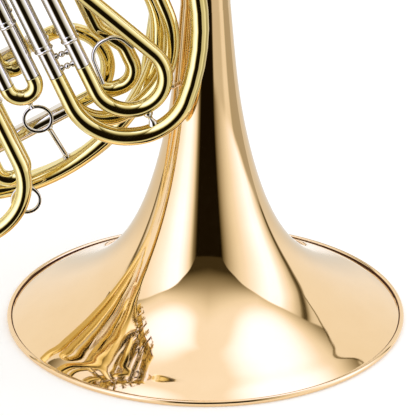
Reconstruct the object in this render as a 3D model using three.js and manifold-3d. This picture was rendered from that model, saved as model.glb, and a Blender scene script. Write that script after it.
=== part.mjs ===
// Double french horn, millimetres, +Z up. It stands on its bell, mouth down, with the wrap of
// tubing to the left of the bell and the slides and levers towards -Y.
import * as THREE from 'three';
import { mergeVertices } from 'three/addons/utils/BufferGeometryUtils.js';
import Module from 'manifold-3d';

const wasm = await Module();
wasm.setup();

// Bell
const mouth_radius = 157.5;
const bell_height = 276;
const throat_radius = 19.75;
const bell_wall = 0.6;
const bead_radius = 1.9;
const bell_sides = 32;

// Wrap: round a centre to the left of the bell, level with its throat
const wrap_radius = 163;
const wrap_clearance = 30;
const throat_lead = 1;
const ring_offset = wrap_radius + wrap_clearance;
const ring_height = bell_height - throat_lead;

// Row of valves: place of its first valve from the wrap's centre, and tilt
const row_left = 34.5;
const row_rise = 42.1;
const row_tilt = 23.8;
const valve_pitch = 40;
const leg_spacing = 22.5;

// Main slide: place of its bow, inside the wrap at an angle, and tilt
const main_angle = -31.37;
const main_inset = 63.7;
const main_tilt = 30;
const main_spacing = 63;

// Layers of tubing, from the front to the back of the horn
const front_layer = -48;
const middle_layer = -31;
const main_layer = -5;
const side_layer = -16;
const branch_layer = 10;
const pipe_layer = -23;

// Tubes: outside radius, wall and running gap
const leg_radius = 6.3;
const sleeve_radius = 7;
const tube_wall = 0.6;
const slide_gap = 0.35;
const seat_gap = 0.3;
const bow_radius = 6.3;
const loop_radius = 7.1;
const main_leg_radius = 5.7;
const main_bow_radius = 6;
const wrap_tube_radius = 6.9;
const branch_start_radius = 9.2;
const tail_end_radius = 9.5;
const pipe_end_radius = 5.2;
const pipe_mouth_radius = 4;
const bead_rise = 0.9;
const bead_width = 2.6;
const tube_sides = 8;
const fine_sides = 8;
const bend_step = 30;
const ring_step = 20;
const weld_distance = 1e-4;

// Valves
const casing_radius = 18;
const casing_front = -66;
const casing_length = 50;
const casing_wall = 1.6;
const plate_thickness = 2.5;
const rotor_gap = 0.4;
const spindle_radius = 3;
const spindle_reach = 7;
const cap_height = 2.4;
const valve_sides = 16;

// Stop arms, link rods and levers
const stop_gap = 1.3;
const stop_thickness = 3;
const stop_hub_radius = 5.4;
const stop_radius = 7.65;
const pin_radius = 1.3;
const pin_height = 1.2;
const link_ball_radius = 2.5;
const link_rod_radius = 1.3;
const short_arm = 25;
const lever_stroke = 25;
const hinge_rise = 46;
const hinge_depth = -50;
const hinge_rod_radius = 2.4;
const lever_width = 6;
const lever_thickness = 3.2;
const lever_reach = 62;
const paddle_length = 30;
const paddle_width = 15;
const thumb_reach = 46;
const curve_steps = 3;
const rack_thickness = 3;
const rack_depth = -38;
const ear_radius = 5;
const hub_radius = 4.5;

// Rings, wire and braces
const ring_radius = 12;
const ring_wire = 1.25;
const pull_wire = 1.35;
const brace_radius = 2;
const foot_radius = 3.6;
const foot_height = 1.6;

const brass = { color: 0xd9bd5a, roughness: 0.12, metalness: 1 };
const rose = { color: 0xe8b982, roughness: 0.1, metalness: 1 };
const nickel = { color: 0xd6d2c8, roughness: 0.14, metalness: 1 };

const horn = new THREE.Group();

// The valve row's own frame: x along the row from the first valve, z away from the slides
const row = new THREE.Group();
row.position.set(-ring_offset - row_left, 0, ring_height + row_rise);
row.rotation.y = -THREE.MathUtils.degToRad(row_tilt);
horn.add(row);

// The main slide's frame: x along its legs, from the middle of its bow
const main = new THREE.Group();
main.position.copy(onRing(main_angle, wrap_radius - main_inset, main_layer));
main.rotation.y = -THREE.MathUtils.degToRad(main_tilt);
horn.add(main);

function place(parent, name, geometry, finish) {
  const body = surface(solid(geometry));
  const mesh = new THREE.Mesh(body, new THREE.MeshStandardMaterial(finish));
  mesh.name = name;
  parent.add(mesh);
  return mesh;
}

function vector(x, y, z) {
  return new THREE.Vector3(x, y, z);
}

// Solids
function solid(geometry) {
  const bare = geometry.clone();
  bare.deleteAttribute('normal');
  bare.deleteAttribute('uv');
  const merged = mergeVertices(bare, weld_distance);
  const vertProperties = new Float32Array(merged.attributes.position.array);
  const triVerts = new Uint32Array(merged.index.array);
  return new wasm.Manifold(new wasm.Mesh({ numProp: 3, vertProperties, triVerts }));
}

function surface(manifold) {
  const mesh = manifold.getMesh();
  const geometry = new THREE.BufferGeometry();
  geometry.setAttribute('position', new THREE.BufferAttribute(mesh.vertProperties, 3));
  geometry.setIndex(new THREE.BufferAttribute(mesh.triVerts, 1));
  geometry.computeVertexNormals();
  return geometry;
}

function join(geometries) {
  return surface(geometries.map(solid).reduce((whole, part) => whole.add(part)));
}

function cut(geometry, tools) {
  return surface(tools.map(solid).reduce((whole, tool) => whole.subtract(tool), solid(geometry)));
}

// A turned piece: profile of [radius, height], turned about z
function turned(profile, sides) {
  const points = profile.map(([radius, height]) => new THREE.Vector2(radius, height));
  const geometry = new THREE.LatheGeometry(points, sides);
  geometry.rotateX(Math.PI / 2);
  return geometry;
}

// A piece turned about z is laid from one point to another
function laid(geometry, from, to) {
  const along = to.clone().sub(from).normalize();
  const turn = new THREE.Quaternion().setFromUnitVectors(vector(0, 0, 1), along);
  return geometry.applyQuaternion(turn).translate(from.x, from.y, from.z);
}

function rod(from, to, radius, sides = tube_sides) {
  const length = from.distanceTo(to);
  return laid(turned([[0, 0], [radius, 0], [radius, length], [0, length]], sides), from, to);
}

// A centreline through corners [x, y, z, bend radius], each corner rounded by an arc
function route(corners) {
  const points = corners.map(([x, y, z]) => vector(x, y, z));
  const bends = points.map((corner, i) => {
    if (i === 0 || i === points.length - 1) return { need: 0 };
    const before = corner.clone().sub(points[i - 1]).normalize();
    const after = points[i + 1].clone().sub(corner).normalize();
    const turn = before.angleTo(after);
    return { before, after, turn, need: corners[i][3] * Math.tan(turn / 2) };
  });
  const shrink = bends.map(() => 1);
  for (let i = 1; i < points.length; i += 1) {
    const room = points[i].distanceTo(points[i - 1]);
    const ratio = Math.min(1, room / Math.max(bends[i].need + bends[i - 1].need, room));
    shrink[i] = Math.min(shrink[i], ratio);
    shrink[i - 1] = Math.min(shrink[i - 1], ratio);
  }
  const line = [points[0]];
  for (let i = 1; i < points.length - 1; i += 1) {
    const { before, after, turn, need } = bends[i];
    const reach = need * shrink[i];
    const radius = reach / Math.tan(turn / 2);
    const inward = after.clone().sub(before).normalize();
    const centre = points[i].clone().addScaledVector(inward, radius / Math.cos(turn / 2));
    const start = points[i].clone().addScaledVector(before, -reach).sub(centre);
    const axis = before.clone().cross(after).normalize();
    const steps = Math.max(1, Math.ceil(THREE.MathUtils.radToDeg(turn) / bend_step));
    for (let k = 0; k <= steps; k += 1) {
      const arm = start.clone().applyAxisAngle(axis, turn * k / steps);
      const next = centre.clone().add(arm);
      if (next.distanceTo(line[line.length - 1]) > seat_gap) line.push(next);
    }
  }
  const last = points[points.length - 1];
  if (last.distanceTo(line[line.length - 1]) <= seat_gap) line.pop();
  line.push(last);
  return line;
}

// Cross sections square to a centreline, carried along it without twist
function frames(line) {
  const tangents = line.map((point, i) => {
    const before = line[Math.max(i - 1, 0)];
    const after = line[Math.min(i + 1, line.length - 1)];
    const back = point.clone().sub(before).normalize();
    const ahead = after.clone().sub(point).normalize();
    return back.add(ahead).normalize();
  });
  const across = Math.abs(tangents[0].y) < Math.SQRT1_2 ? vector(0, 1, 0) : vector(1, 0, 0);
  let side = across.projectOnPlane(tangents[0]).normalize();
  return line.map((point, i) => {
    if (i > 0) {
      const turn = new THREE.Quaternion().setFromUnitVectors(tangents[i - 1], tangents[i]);
      side = side.clone().applyQuaternion(turn);
    }
    side = side.clone().projectOnPlane(tangents[i]).normalize();
    return { point, side, up: tangents[i].clone().cross(side) };
  });
}

function section({ point, side, up }, radius, sides) {
  return Array.from({ length: sides }, (_, k) => {
    const angle = 2 * Math.PI * k / sides;
    return point.clone()
      .addScaledVector(side, radius * Math.cos(angle))
      .addScaledVector(up, radius * Math.sin(angle));
  });
}

// Points where a centreline crosses a value of x or z
function crossings(line, axis, value) {
  const points = [];
  for (let i = 1; i < line.length; i += 1) {
    const share = (value - line[i - 1][axis]) / (line[i][axis] - line[i - 1][axis]);
    if (share > 0 && share <= 1) points.push(line[i - 1].clone().lerp(line[i], share));
  }
  return points;
}

// An open tube: outer skin, bore with half as many sides, and a flat lip at each end.
// Stations are { frame, outer, bore }.
function tubeFrom(stations, sides) {
  const half = sides / 2;
  const positions = [];
  const index = [];
  const outer = (i, k) => i * (sides + half) + (k + sides) % sides;
  const inner = (i, k) => i * (sides + half) + sides + (k + half) % half;
  for (const { frame, outer: radius, bore } of stations) {
    for (const p of section(frame, radius, sides)) positions.push(p.x, p.y, p.z);
    for (const p of section(frame, bore, half)) positions.push(p.x, p.y, p.z);
  }
  const triangle = (flip, a, b, c) => index.push(...(flip ? [a, c, b] : [a, b, c]));
  const quad = (flip, a, b, c, d) => {
    triangle(flip, a, b, c);
    triangle(flip, a, c, d);
  };
  for (let i = 0; i + 1 < stations.length; i += 1) {
    for (let k = 0; k < sides; k += 1) {
      quad(false, outer(i, k), outer(i, k + 1), outer(i + 1, k + 1), outer(i + 1, k));
    }
    for (let k = 0; k < half; k += 1) {
      quad(true, inner(i, k), inner(i, k + 1), inner(i + 1, k + 1), inner(i + 1, k));
    }
  }
  for (const [i, flip] of [[0, true], [stations.length - 1, false]]) {
    for (let k = 0; k < half; k += 1) {
      triangle(flip, inner(i, k), outer(i, 2 * k), outer(i, 2 * k + 1));
      triangle(flip, inner(i, k), outer(i, 2 * k + 1), inner(i, k + 1));
      triangle(flip, inner(i, k + 1), outer(i, 2 * k + 1), outer(i, 2 * k + 2));
    }
  }
  const geometry = new THREE.BufferGeometry();
  geometry.setAttribute('position', new THREE.Float32BufferAttribute(positions, 3));
  geometry.setIndex(index);
  geometry.computeVertexNormals();
  return geometry;
}

// Radii along a centreline: a number, or a function of the share of the length
function radiiAlong(line, radius) {
  const lengths = [0];
  for (let i = 1; i < line.length; i += 1) {
    lengths.push(lengths[i - 1] + line[i].distanceTo(line[i - 1]));
  }
  const whole = lengths[lengths.length - 1];
  return lengths.map((length) => (typeof radius === 'number' ? radius : radius(length / whole)));
}

// A bent tube
function tube(line, radius, sides = tube_sides, wall = tube_wall) {
  const radii = radiiAlong(line, radius);
  const stations = frames(line).map((frame, i) => (
    { frame, outer: radii[i], bore: radii[i] - wall }));
  return tubeFrom(stations, sides);
}

// A bent solid wire, whose radius is a number or a list of one for each point
function wire(line, radius, sides) {
  const at_point = (i) => (typeof radius === 'number' ? radius : radius[i]);
  const rings = frames(line).map((frame, i) => section(frame, at_point(i), sides));
  const positions = rings.flat().flatMap((p) => [p.x, p.y, p.z]);
  const index = [];
  const at = (i, k) => i * sides + k % sides;
  for (let i = 0; i + 1 < rings.length; i += 1) {
    for (let k = 0; k < sides; k += 1) {
      index.push(at(i, k), at(i, k + 1), at(i + 1, k + 1));
      index.push(at(i, k), at(i + 1, k + 1), at(i + 1, k));
    }
  }
  const end = rings.length - 1;
  for (let k = 1; k + 1 < sides; k += 1) {
    index.push(at(0, 0), at(0, k + 1), at(0, k));
    index.push(at(end, 0), at(end, k), at(end, k + 1));
  }
  const geometry = new THREE.BufferGeometry();
  geometry.setAttribute('position', new THREE.Float32BufferAttribute(positions, 3));
  geometry.setIndex(index);
  geometry.computeVertexNormals();
  return geometry;
}

// The space that a tube takes, with a seat gap round it
function space(line, radius, sides = tube_sides) {
  return wire(line, radiiAlong(line, radius).map((size) => size + seat_gap), sides);
}

// A smooth run between radii at given shares of the length
function taper(rows) {
  return (share) => {
    const after = rows.findIndex(([at]) => at >= share);
    if (after <= 0) return rows[Math.max(after, 0)][1];
    const [from, start] = rows[after - 1];
    const [to, end] = rows[after];
    return THREE.MathUtils.lerp(start, end, (share - from) / (to - from));
  };
}

// A point on the wrap: degrees round its centre, distance from it, depth
function onRing(degrees, distance, depth) {
  const angle = THREE.MathUtils.degToRad(degrees);
  return vector(-ring_offset + distance * Math.cos(angle), depth,
    ring_height + distance * Math.sin(angle));
}

// Bell: the flare's height and radius, as shares of the whole height and the mouth's radius
const flare_shares = [
  [0.022, 0.95], [0.052, 0.843], [0.092, 0.717], [0.14, 0.594], [0.19, 0.498],
  [0.243, 0.424], [0.319, 0.349], [0.424, 0.279], [0.533, 0.228],
  [0.681, 0.179], [0.85, 0.147],
];

function bell() {
  const neck = mouth_radius - 2 * bead_radius;
  const flare = flare_shares.map(([rise, reach]) => [reach * mouth_radius, rise * bell_height]);
  flare.push([throat_radius, bell_height]);
  const skin = flare.map(([radius, height], i) => {
    const [r0, z0] = flare[Math.max(i - 1, 0)];
    const [r1, z1] = flare[Math.min(i + 1, flare.length - 1)];
    const slope = Math.hypot(r1 - r0, z1 - z0);
    return [radius - bell_wall * (z1 - z0) / slope, height + bell_wall * (r1 - r0) / slope];
  });
  skin[skin.length - 1][1] = bell_height;
  const bead_top = 2 * bead_radius;
  const profile = [
    [neck + bead_radius / 2, 0],
    [mouth_radius - bead_radius / 2, 0],
    [mouth_radius, bead_radius / 2],
    [mouth_radius, bead_top - bead_radius / 2],
    [mouth_radius - bead_radius / 2, bead_top],
    [neck, bead_top + bell_wall / 2],
    ...flare,
    ...skin.reverse(),
    [neck - bell_wall, bead_top - bell_wall],
    [neck + bead_radius / 2, 0],
  ];
  return turned(profile, bell_sides);
}

// Tail: over the top of the wrap and down its left side
const tail_end_angle = 203;
const tail_turn_step = 14.5;
const tail_sides = 12;
const tail_radius_shares = [[0, 1], [0.45, 0.72]];
const joint_lead = 2;

function ringTangent(degrees) {
  const angle = THREE.MathUtils.degToRad(degrees);
  return vector(-Math.sin(angle), 0, Math.cos(angle));
}

function ringLine(rows, step) {
  const line = [];
  for (let i = 0; i + 1 < rows.length; i += 1) {
    const [from, near, front] = rows[i];
    const [to, far, back] = rows[i + 1];
    const steps = Math.max(1, Math.round((to - from) / step));
    for (let k = 0; k < steps; k += 1) {
      const share = k / steps;
      const smooth = THREE.MathUtils.smoothstep(share, 0, 1);
      line.push(onRing(THREE.MathUtils.lerp(from, to, share),
        THREE.MathUtils.lerp(near, far, smooth), THREE.MathUtils.lerp(front, back, smooth)));
    }
  }
  line.push(onRing(...rows[rows.length - 1]));
  return line;
}

function tailLine() {
  const line = ringLine([[0, ring_offset, 0], [tail_end_angle, ring_offset, 0]], tail_turn_step);
  const end = line.pop();
  line[0].z = bell_height + seat_gap;
  line.splice(1, 0, vector(0, 0, bell_height + joint_lead));
  line.push(end.clone().addScaledVector(ringTangent(tail_end_angle), -joint_lead), end);
  return line;
}

const tail_radii = taper([
  ...tail_radius_shares.map(([at, share]) => [at, share * throat_radius]),
  [1, tail_end_radius],
]);

// Points of the valve row, in the horn's frame
function rowPoint(x, y, z) {
  row.updateMatrixWorld();
  return row.localToWorld(vector(x, y, z));
}

function corner(at, bend) {
  return [at.x, at.y, at.z, bend];
}

// The space that the valve casings take, with a seat gap round them
function casingSpace(index) {
  const length = casing_length + 2 * seat_gap;
  const space = new THREE.CylinderGeometry(
    casing_radius + seat_gap, casing_radius + seat_gap, length, valve_sides * 2);
  return space.translate(index * valve_pitch, casing_front - seat_gap + length / 2, 0);
}

function casingSpaceInHorn(index) {
  row.updateMatrixWorld();
  return casingSpace(index).applyMatrix4(row.matrixWorld);
}

// First branch: from the tail round the bottom, up beside the bell and in to the change valve
const branch_bend = 50;
const branch_side_share = 0.965;
const branch_taper_share = 0.4;
const branch_sink = 4.5;
const branch_low_angle = 262;
const branch_rise_angle = 309;
const branch_lift_angle = 335;
const under_row = 45;
const branch_corner = 187;
const change_side = 80;
const tail_joint_angle = 0.1;

function firstBranch() {
  const side = wrap_radius * branch_side_share;
  const low = ringLine([
    [tail_end_angle + tail_joint_angle, ring_offset, 0],
    [branch_low_angle, wrap_radius + branch_sink, branch_layer],
    [branch_rise_angle, wrap_radius + branch_sink, branch_layer],
    [branch_lift_angle, wrap_radius, branch_layer],
  ], ring_step);
  const start = tail_end_angle + tail_joint_angle;
  low.splice(1, 0, low[0].clone().addScaledVector(ringTangent(start), joint_lead));
  const high = route([
    corner(low[low.length - 1], 0),
    [-ring_offset + side, branch_layer, ring_height, wrap_radius],
    corner(rowPoint(branch_corner, branch_layer, -under_row), branch_bend),
    corner(rowPoint(-change_side, branch_layer, -under_row), branch_bend / 2),
    corner(rowPoint(-change_side, middle_layer, 0), branch_bend / 2),
    corner(rowPoint(-valve_pitch, middle_layer, 0), 0),
  ]);
  const radius = taper([[0, branch_start_radius], [branch_taper_share, wrap_tube_radius],
    [1, wrap_tube_radius]]);
  return cut(tube([...low, ...high.slice(1)], radius), [casingSpaceInHorn(-1)]);
}

// Feed tube: from the lower leg of the main slide round the front of the wrap, up beside the
// bell, then in to the end of the valve row
const feed_turn = 19;
const feed_turn_place_share = 1.25;
const feed_turn_drop_share = 0.2;
const feed_low_angle = 281;
const feed_side_angle = 318;
const feed_high_angle = 348;
const feed_pinch = 3.5;
const feed_lean = 1;
const main_legs_start = -93;
const feed_bend = 60;
const feed_top = 12;
const feed_entry = 7;
const feed_entry_share = 3.12;

function feedLine() {
  main.updateMatrixWorld();
  const at = (x, z) => main.localToWorld(vector(x, 0, z));
  const leg = -main_spacing / 2;
  const below = onRing(feed_low_angle, wrap_radius, main_layer);
  const drop = feed_turn * feed_turn_drop_share;
  const bend = route([
    corner(at(main_legs_start - seat_gap, leg), 0),
    corner(at(main_legs_start - feed_turn * feed_turn_place_share, leg), feed_turn),
    [-ring_offset + drop, main_layer, below.z - drop, feed_turn],
    corner(below, 0),
  ]);
  const low = ringLine([
    [feed_low_angle, wrap_radius, main_layer],
    [feed_side_angle, wrap_radius - feed_pinch, (main_layer + side_layer) / 2],
    [feed_high_angle, wrap_radius - feed_pinch, side_layer],
  ], ring_step);
  const end = low[low.length - 1];
  const high = route([
    corner(end, 0),
    [end.x + feed_lean, side_layer, ring_height + feed_top, feed_bend],
    corner(rowPoint(valve_pitch * feed_entry_share, side_layer, feed_entry), feed_turn),
    corner(rowPoint(valve_pitch * 2, middle_layer, feed_entry), 0),
  ]);
  return [...bend.slice(0, -1), ...low, ...high.slice(1)];
}

function feedTube() {
  return cut(tube(feedLine(), wrap_tube_radius), [casingSpaceInHorn(2)]);
}

// Mouthpipe: down the left in front of the tail, then in to the upper leg of the main slide
const main_upper_start = -105;
const pipe_cross_angle = 164;
const pipe_lean = 7;
const pipe_above = 150;
const pipe_below = 58;
const pipe_bend = 110;
const pipe_hook = 50;
const pipe_hook_place_share = 0.75;

function pipeCrossing() {
  return onRing(pipe_cross_angle, ring_offset, pipe_layer);
}

function pipeDirection() {
  const lean = THREE.MathUtils.degToRad(pipe_lean);
  return vector(Math.sin(lean), 0, -Math.cos(lean));
}

function pipeLine() {
  const at = (x, z) => main.localToWorld(vector(x, 0, z));
  const cross = pipeCrossing();
  const down = pipeDirection();
  const leg = main_spacing / 2;
  return route([
    corner(cross.clone().addScaledVector(down, -pipe_above), 0),
    corner(cross.clone().addScaledVector(down, pipe_below), pipe_bend),
    corner(at(main_upper_start - pipe_hook * pipe_hook_place_share, leg), pipe_hook),
    corner(at(main_upper_start - seat_gap, leg), 0),
  ]);
}

const pipe_radii = taper([[0, pipe_mouth_radius], [1, pipe_end_radius]]);

// Receiver for the mouthpiece, over the upper end of the mouthpipe
const receiver_length = 42;
const receiver_overlap = 14;
const receiver_radius = 5.6;
const receiver_rim = 7;
const receiver_bore = 4.3;

function receiver() {
  const top = pipeCrossing().addScaledVector(pipeDirection(), -pipe_above);
  const from = top.clone().addScaledVector(pipeDirection(), receiver_overlap);
  const hold = pipe_mouth_radius + seat_gap;
  const step = receiver_overlap + seat_gap;
  const lip = receiver_rim - receiver_radius;
  const body = turned([
    [hold, 0], [receiver_radius, 0], [receiver_radius, receiver_length - 3 * lip],
    [receiver_rim, receiver_length - 2 * lip], [receiver_rim, receiver_length],
    [receiver_bore, receiver_length], [pipe_mouth_radius - tube_wall, step],
    [hold, step], [hold, 0],
  ], tube_sides);
  return laid(body, from, top);
}

// Outer slide tubes: sleeves at x, from the valve down to a beaded end, tied by cross pieces
function sleeves(parts) {
  const { tubes, links = [], spaces = [], inner = leg_radius, outer = sleeve_radius } = parts;
  const solids = tubes.map(({ x, top, end, y = parts.y }) => {
    const rise = end < top ? 1 : -1;
    const profile = [
      [0, end], [outer, end], [outer + bead_rise, end + rise * bead_width / 2],
      [outer, end + rise * bead_width], [outer, top], [0, top],
    ];
    return turned(rise > 0 ? profile : profile.reverse(), tube_sides).translate(x, y, 0);
  });
  const bores = tubes.map(({ x, top, end, y = parts.y }) => {
    const over = (top - end) / 8;
    const bore = inner + slide_gap;
    const low = Math.min(end, top) - Math.abs(over);
    const high = Math.max(end, top) + Math.abs(over);
    return turned([[0, low], [bore, low], [bore, high], [0, high]], tube_sides).translate(x, y, 0);
  });
  return cut(join([...solids, ...links]), [...bores, ...spaces]);
}

function crossPiece(from, to, y, z, radius = brace_radius) {
  return rod(vector(from, y, z), vector(to, y, z), radius, fine_sides);
}

// A crook in the row's frame: corners [x, z, bend], in one layer
function crookLine(corners, y) {
  return route(corners.map(([x, z, bend]) => [x, y, z, bend]));
}

// A plain U slide, down to a bow
function uSlide(centre, drop, y) {
  const half = leg_spacing / 2;
  return tube(crookLine([
    [centre - half, leg_top, 0],
    [centre - half, -drop, half],
    [centre + half, -drop, half],
    [centre + half, leg_top, 0],
  ], y), leg_radius);
}

// F and B flat slides of the valves. Every slide is pulled down the row's -z.
const sleeve_top = -8;
const leg_top = -21;
const f1_end = -58;
const f2_end = -65;
const f3_end = -96;
const bflat1_end = -130;
const bflat2_end = -62;
const bflat3_end = -95;
const bflat1_centre = -0.8;
const bflat2_shift = -2;
const bflat3_shift = -3.25;

const slides = new THREE.Group();
row.add(slides);

function pairSleeves(name, centre, valve, end, y) {
  const half = leg_spacing / 2;
  const reach = half - sleeve_radius / 2;
  const tubes = [-half, half].map((side) => ({ x: centre + side, top: sleeve_top, end }));
  const links = [crossPiece(centre - reach, centre + reach, y, end / 2)];
  place(slides, name, sleeves({ tubes, links, y, spaces: [casingSpace(valve)] }), nickel);
}

// F slide 1: the wide crook at the lower left
const f1_drop = 224.5;
const f1_bend = 49;
const f1_neck = 140;
const f1_neck_bend = 30;
const f1_shoulder = 72;
const f1_shoulder_bend = 25;

function slideF1() {
  const half = leg_spacing / 2;
  const left = half - 2 * f1_bend;
  return tube(crookLine([
    [half, leg_top, 0],
    [half, -f1_drop, f1_bend],
    [left, -f1_drop, f1_bend],
    [left, -f1_neck, f1_neck_bend],
    [-half, -f1_shoulder - half, f1_shoulder_bend],
    [-half, leg_top, 0],
  ], front_layer), leg_radius);
}

// F slide 2: a short U, with a finger ring
const f2_drop = 126.65;

// F slide 3: two legs with cross pieces, and a long loop with an outer and an inner bow
const f3_leg_end = -119;
const f3_links = [-104, -115];
const loop_reach = 100;
const loop_drop = 162.7;
const loop_outer_share = 1.1;
const loop_corner_shares = [
  [0.508, -1.2465, 0.476], [1.06, -0.888, 1.88], [1.365, -0.172, 0.46], [0.745, 0.055, 0.46],
  [0.238, -0.222, 0.46], [0.738, -0.9165, 0.285], [0.471, -1.088, 0.285],
];
const loop_outer_bend = 47.6;
const loop_inner_bend = 28.5;

const loop_wide_shares = [[0, 0], [0.12, 1], [0.6, 1], [0.75, 0], [1, 0]];
const loop_radii = taper(loop_wide_shares.map(([at, share]) => (
  [at, THREE.MathUtils.lerp(bow_radius, loop_radius, share)])));

function loopCorners(centre, shares) {
  return shares.map(([x, z, bend]) => (
    [centre + x * loop_reach, z * loop_drop, bend * loop_reach]));
}

function loopLine(centre) {
  const half = leg_spacing / 2;
  const start = f3_leg_end - seat_gap;
  return crookLine([
    [centre - half, start, 0],
    [centre - half, -loop_drop * loop_outer_share, loop_outer_bend],
    ...loopCorners(centre, loop_corner_shares),
    [centre + half, -loop_drop, loop_inner_bend],
    [centre + half, start, 0],
  ], front_layer);
}

function slideF3Legs(centre) {
  const half = leg_spacing / 2;
  const reach = half - leg_radius / 2;
  const shafts = [-half, half].map((side) => (
    rod(vector(centre + side, front_layer, f3_leg_end),
      vector(centre + side, front_layer, leg_top), leg_radius)));
  const links = f3_links.map((z) => crossPiece(centre - reach, centre + reach, front_layer, z));
  const bores = [-half, half].map((side) => (
    rod(vector(centre + side, front_layer, f3_leg_end - leg_spacing),
      vector(centre + side, front_layer, leg_top + leg_spacing), leg_radius - tube_wall)));
  return cut(join([...shafts, ...links]), bores);
}

// Wire pull of F slide 3, from its right leg across to the inner bow
const wire_lead = 21.7;
const wire_corner_shares = [[0.215, -0.6575, 0.15], [0.465, -0.6545, 0.12], [0.533, -0.751, 0]];

function pullWire(centre) {
  const beside = leg_spacing / 2 + bow_radius + seat_gap + pull_wire;
  return wire(crookLine([
    [centre + beside, wire_lead - loop_drop, 0],
    ...loopCorners(centre, wire_corner_shares),
  ], front_layer), pull_wire, fine_sides);
}

// Turned brace between the two bows of F slide 3
const loop_brace_place = 41;
const loop_brace_waist = 1.5;
const loop_brace_shares = [[0.4, 1], [0.49, 0], [0.54, 0], [0.62, 0.7]];

function loopBrace(centre) {
  const x = centre + loop_brace_place;
  const heights = crossings(loopLine(centre), 'x', x).map((point) => point.z);
  const [low, high] = heights.sort((a, b) => a - b);
  const waist = loop_brace_shares.map(([rise, share]) => (
    [THREE.MathUtils.lerp(loop_brace_waist, foot_radius, share), rise * (high - low)]));
  const [[first], last] = [waist, waist[waist.length - 1]];
  const profile = [[0, 0], [first[0], 0], ...waist, [last[0], high - low], [0, high - low]];
  const spindle = turned(profile, tube_sides).translate(x, front_layer, low);
  return cut(spindle, [space(loopLine(centre), loop_radii)]);
}

// Finger ring on a short stem below a bow
const stem_length = 2.4;
const stem_radius = 2;
const ring_wire_sides = 6;
const ring_steps = 12;

function fingerRing(x, y, drop) {
  const apex = -drop - leg_radius;
  const centre = apex - seat_gap - stem_length - ring_radius;
  const ring = new THREE.TorusGeometry(
    ring_radius - ring_wire, ring_wire, ring_wire_sides, ring_steps);
  ring.rotateX(Math.PI / 2).translate(x, y, centre);
  const neck = rod(vector(x, y, centre + ring_radius - ring_wire), vector(x, y, apex - seat_gap),
    stem_radius, fine_sides);
  return join([ring, neck]);
}

// B flat slides
const bflat1_drop = 194.5;
const bflat2_drop = 108;
const bflat3_outer_share = 1.094;
const bflat3_outer_bend = 32;
const bflat3_inner_share = 0.956;
const bflat3_inner_bend = 16;
const bflat3_corner_shares = [
  [0.862, -1.094, 0.76], [0.935, -0.154, 0.29], [0.3425, -0.154, 0.29], [0.3425, -0.627, 0.16],
  [0.475, -0.759, 0.14], [0.475, -0.956, 0.17],
];

// B flat slide 3: behind F slide 3, with an outer and an inner bow as well
function slideBFlat3(centre) {
  const half = leg_spacing / 2;
  return tube(crookLine([
    [centre - half, leg_top, 0],
    [centre - half, -loop_drop * bflat3_outer_share, bflat3_outer_bend],
    ...loopCorners(centre, bflat3_corner_shares),
    [centre + half, -loop_drop * bflat3_inner_share, bflat3_inner_bend],
    [centre + half, leg_top, 0],
  ], middle_layer), leg_radius);
}

// Main slide, in its own frame: sleeves from the left, bow at the right
const main_sleeve_end = -14;
const main_leg_start = -78;
const main_wide_shares = [[0, 0], [0.3, 0], [0.4, 1], [0.6, 1], [0.7, 0], [1, 0]];

function mainSleeves() {
  const half = main_spacing / 2;
  const outer = main_leg_radius + slide_gap + tube_wall;
  const make = (z, from) => {
    const end = main_sleeve_end;
    const profile = [
      [0, from], [outer, from], [outer, end - bead_width],
      [outer + bead_rise, end - bead_width / 2], [outer, end], [0, end],
    ];
    return turned(profile, tube_sides).rotateY(Math.PI / 2).translate(0, 0, z);
  };
  const link = rod(vector(main_leg_start, 0, -half + outer / 2),
    vector(main_leg_start, 0, half - outer / 2), brace_radius);
  const bores = [half, -half].map((z) => (
    rod(vector(main_upper_start * 1.2, 0, z), vector(-main_sleeve_end, 0, z),
      main_leg_radius + slide_gap)));
  return cut(join([make(half, main_upper_start), make(-half, main_legs_start), link]), bores);
}

function mainSlide() {
  const half = main_spacing / 2;
  const line = route([
    [main_leg_start, 0, half, 0],
    [half, 0, half, half],
    [half, 0, -half, half],
    [main_leg_start, 0, -half, 0],
  ]);
  return tube(line, taper(main_wide_shares.map(([at, share]) => (
    [at, THREE.MathUtils.lerp(main_leg_radius, main_bow_radius, share)]))));
}

// Valves, from the change valve on the left to the third valve on the right
const valve_names = ['change', '1', '2', '3'];
const lever_shares = [-0.6, 0.45, 1, 1.55];
const pin_sides = [1, 1, 1, -1];
const ball_sides = [-1, -1, 1, 1];
const lever_pitch = 22;

function casing(index, knuckle) {
  const hole = spindle_radius + seat_gap;
  const inner = casing_radius - casing_wall;
  const shell = turned([
    [hole, 0], [casing_radius, 0], [casing_radius, casing_length], [inner, casing_length],
    [inner, plate_thickness], [hole, plate_thickness], [hole, 0],
  ], valve_sides);
  const x = index * valve_pitch;
  laid(shell, vector(x, casing_front, 0), vector(x, casing_front + casing_length, 0));
  if (!knuckle) return shell;
  const near = casing_radius - casing_wall / 2;
  const far = valve_pitch - casing_radius - seat_gap;
  const stubs = [front_layer, middle_layer].map((y) => (
    crossPiece(x + near, x + far, y, 0, bow_radius)));
  return join([shell, ...stubs]);
}

function rotor(index) {
  const bore = (casing_radius - casing_wall) * Math.cos(Math.PI / valve_sides);
  const body = bore - rotor_gap;
  const base = plate_thickness + rotor_gap;
  const top = casing_length - plate_thickness - rotor_gap;
  const shape = turned([
    [0, -spindle_reach], [spindle_radius, -spindle_reach], [spindle_radius, base], [body, base],
    [body, top], [0, top],
  ], valve_sides);
  const x = index * valve_pitch;
  return laid(shape, vector(x, casing_front, 0), vector(x, 0, 0));
}

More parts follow.
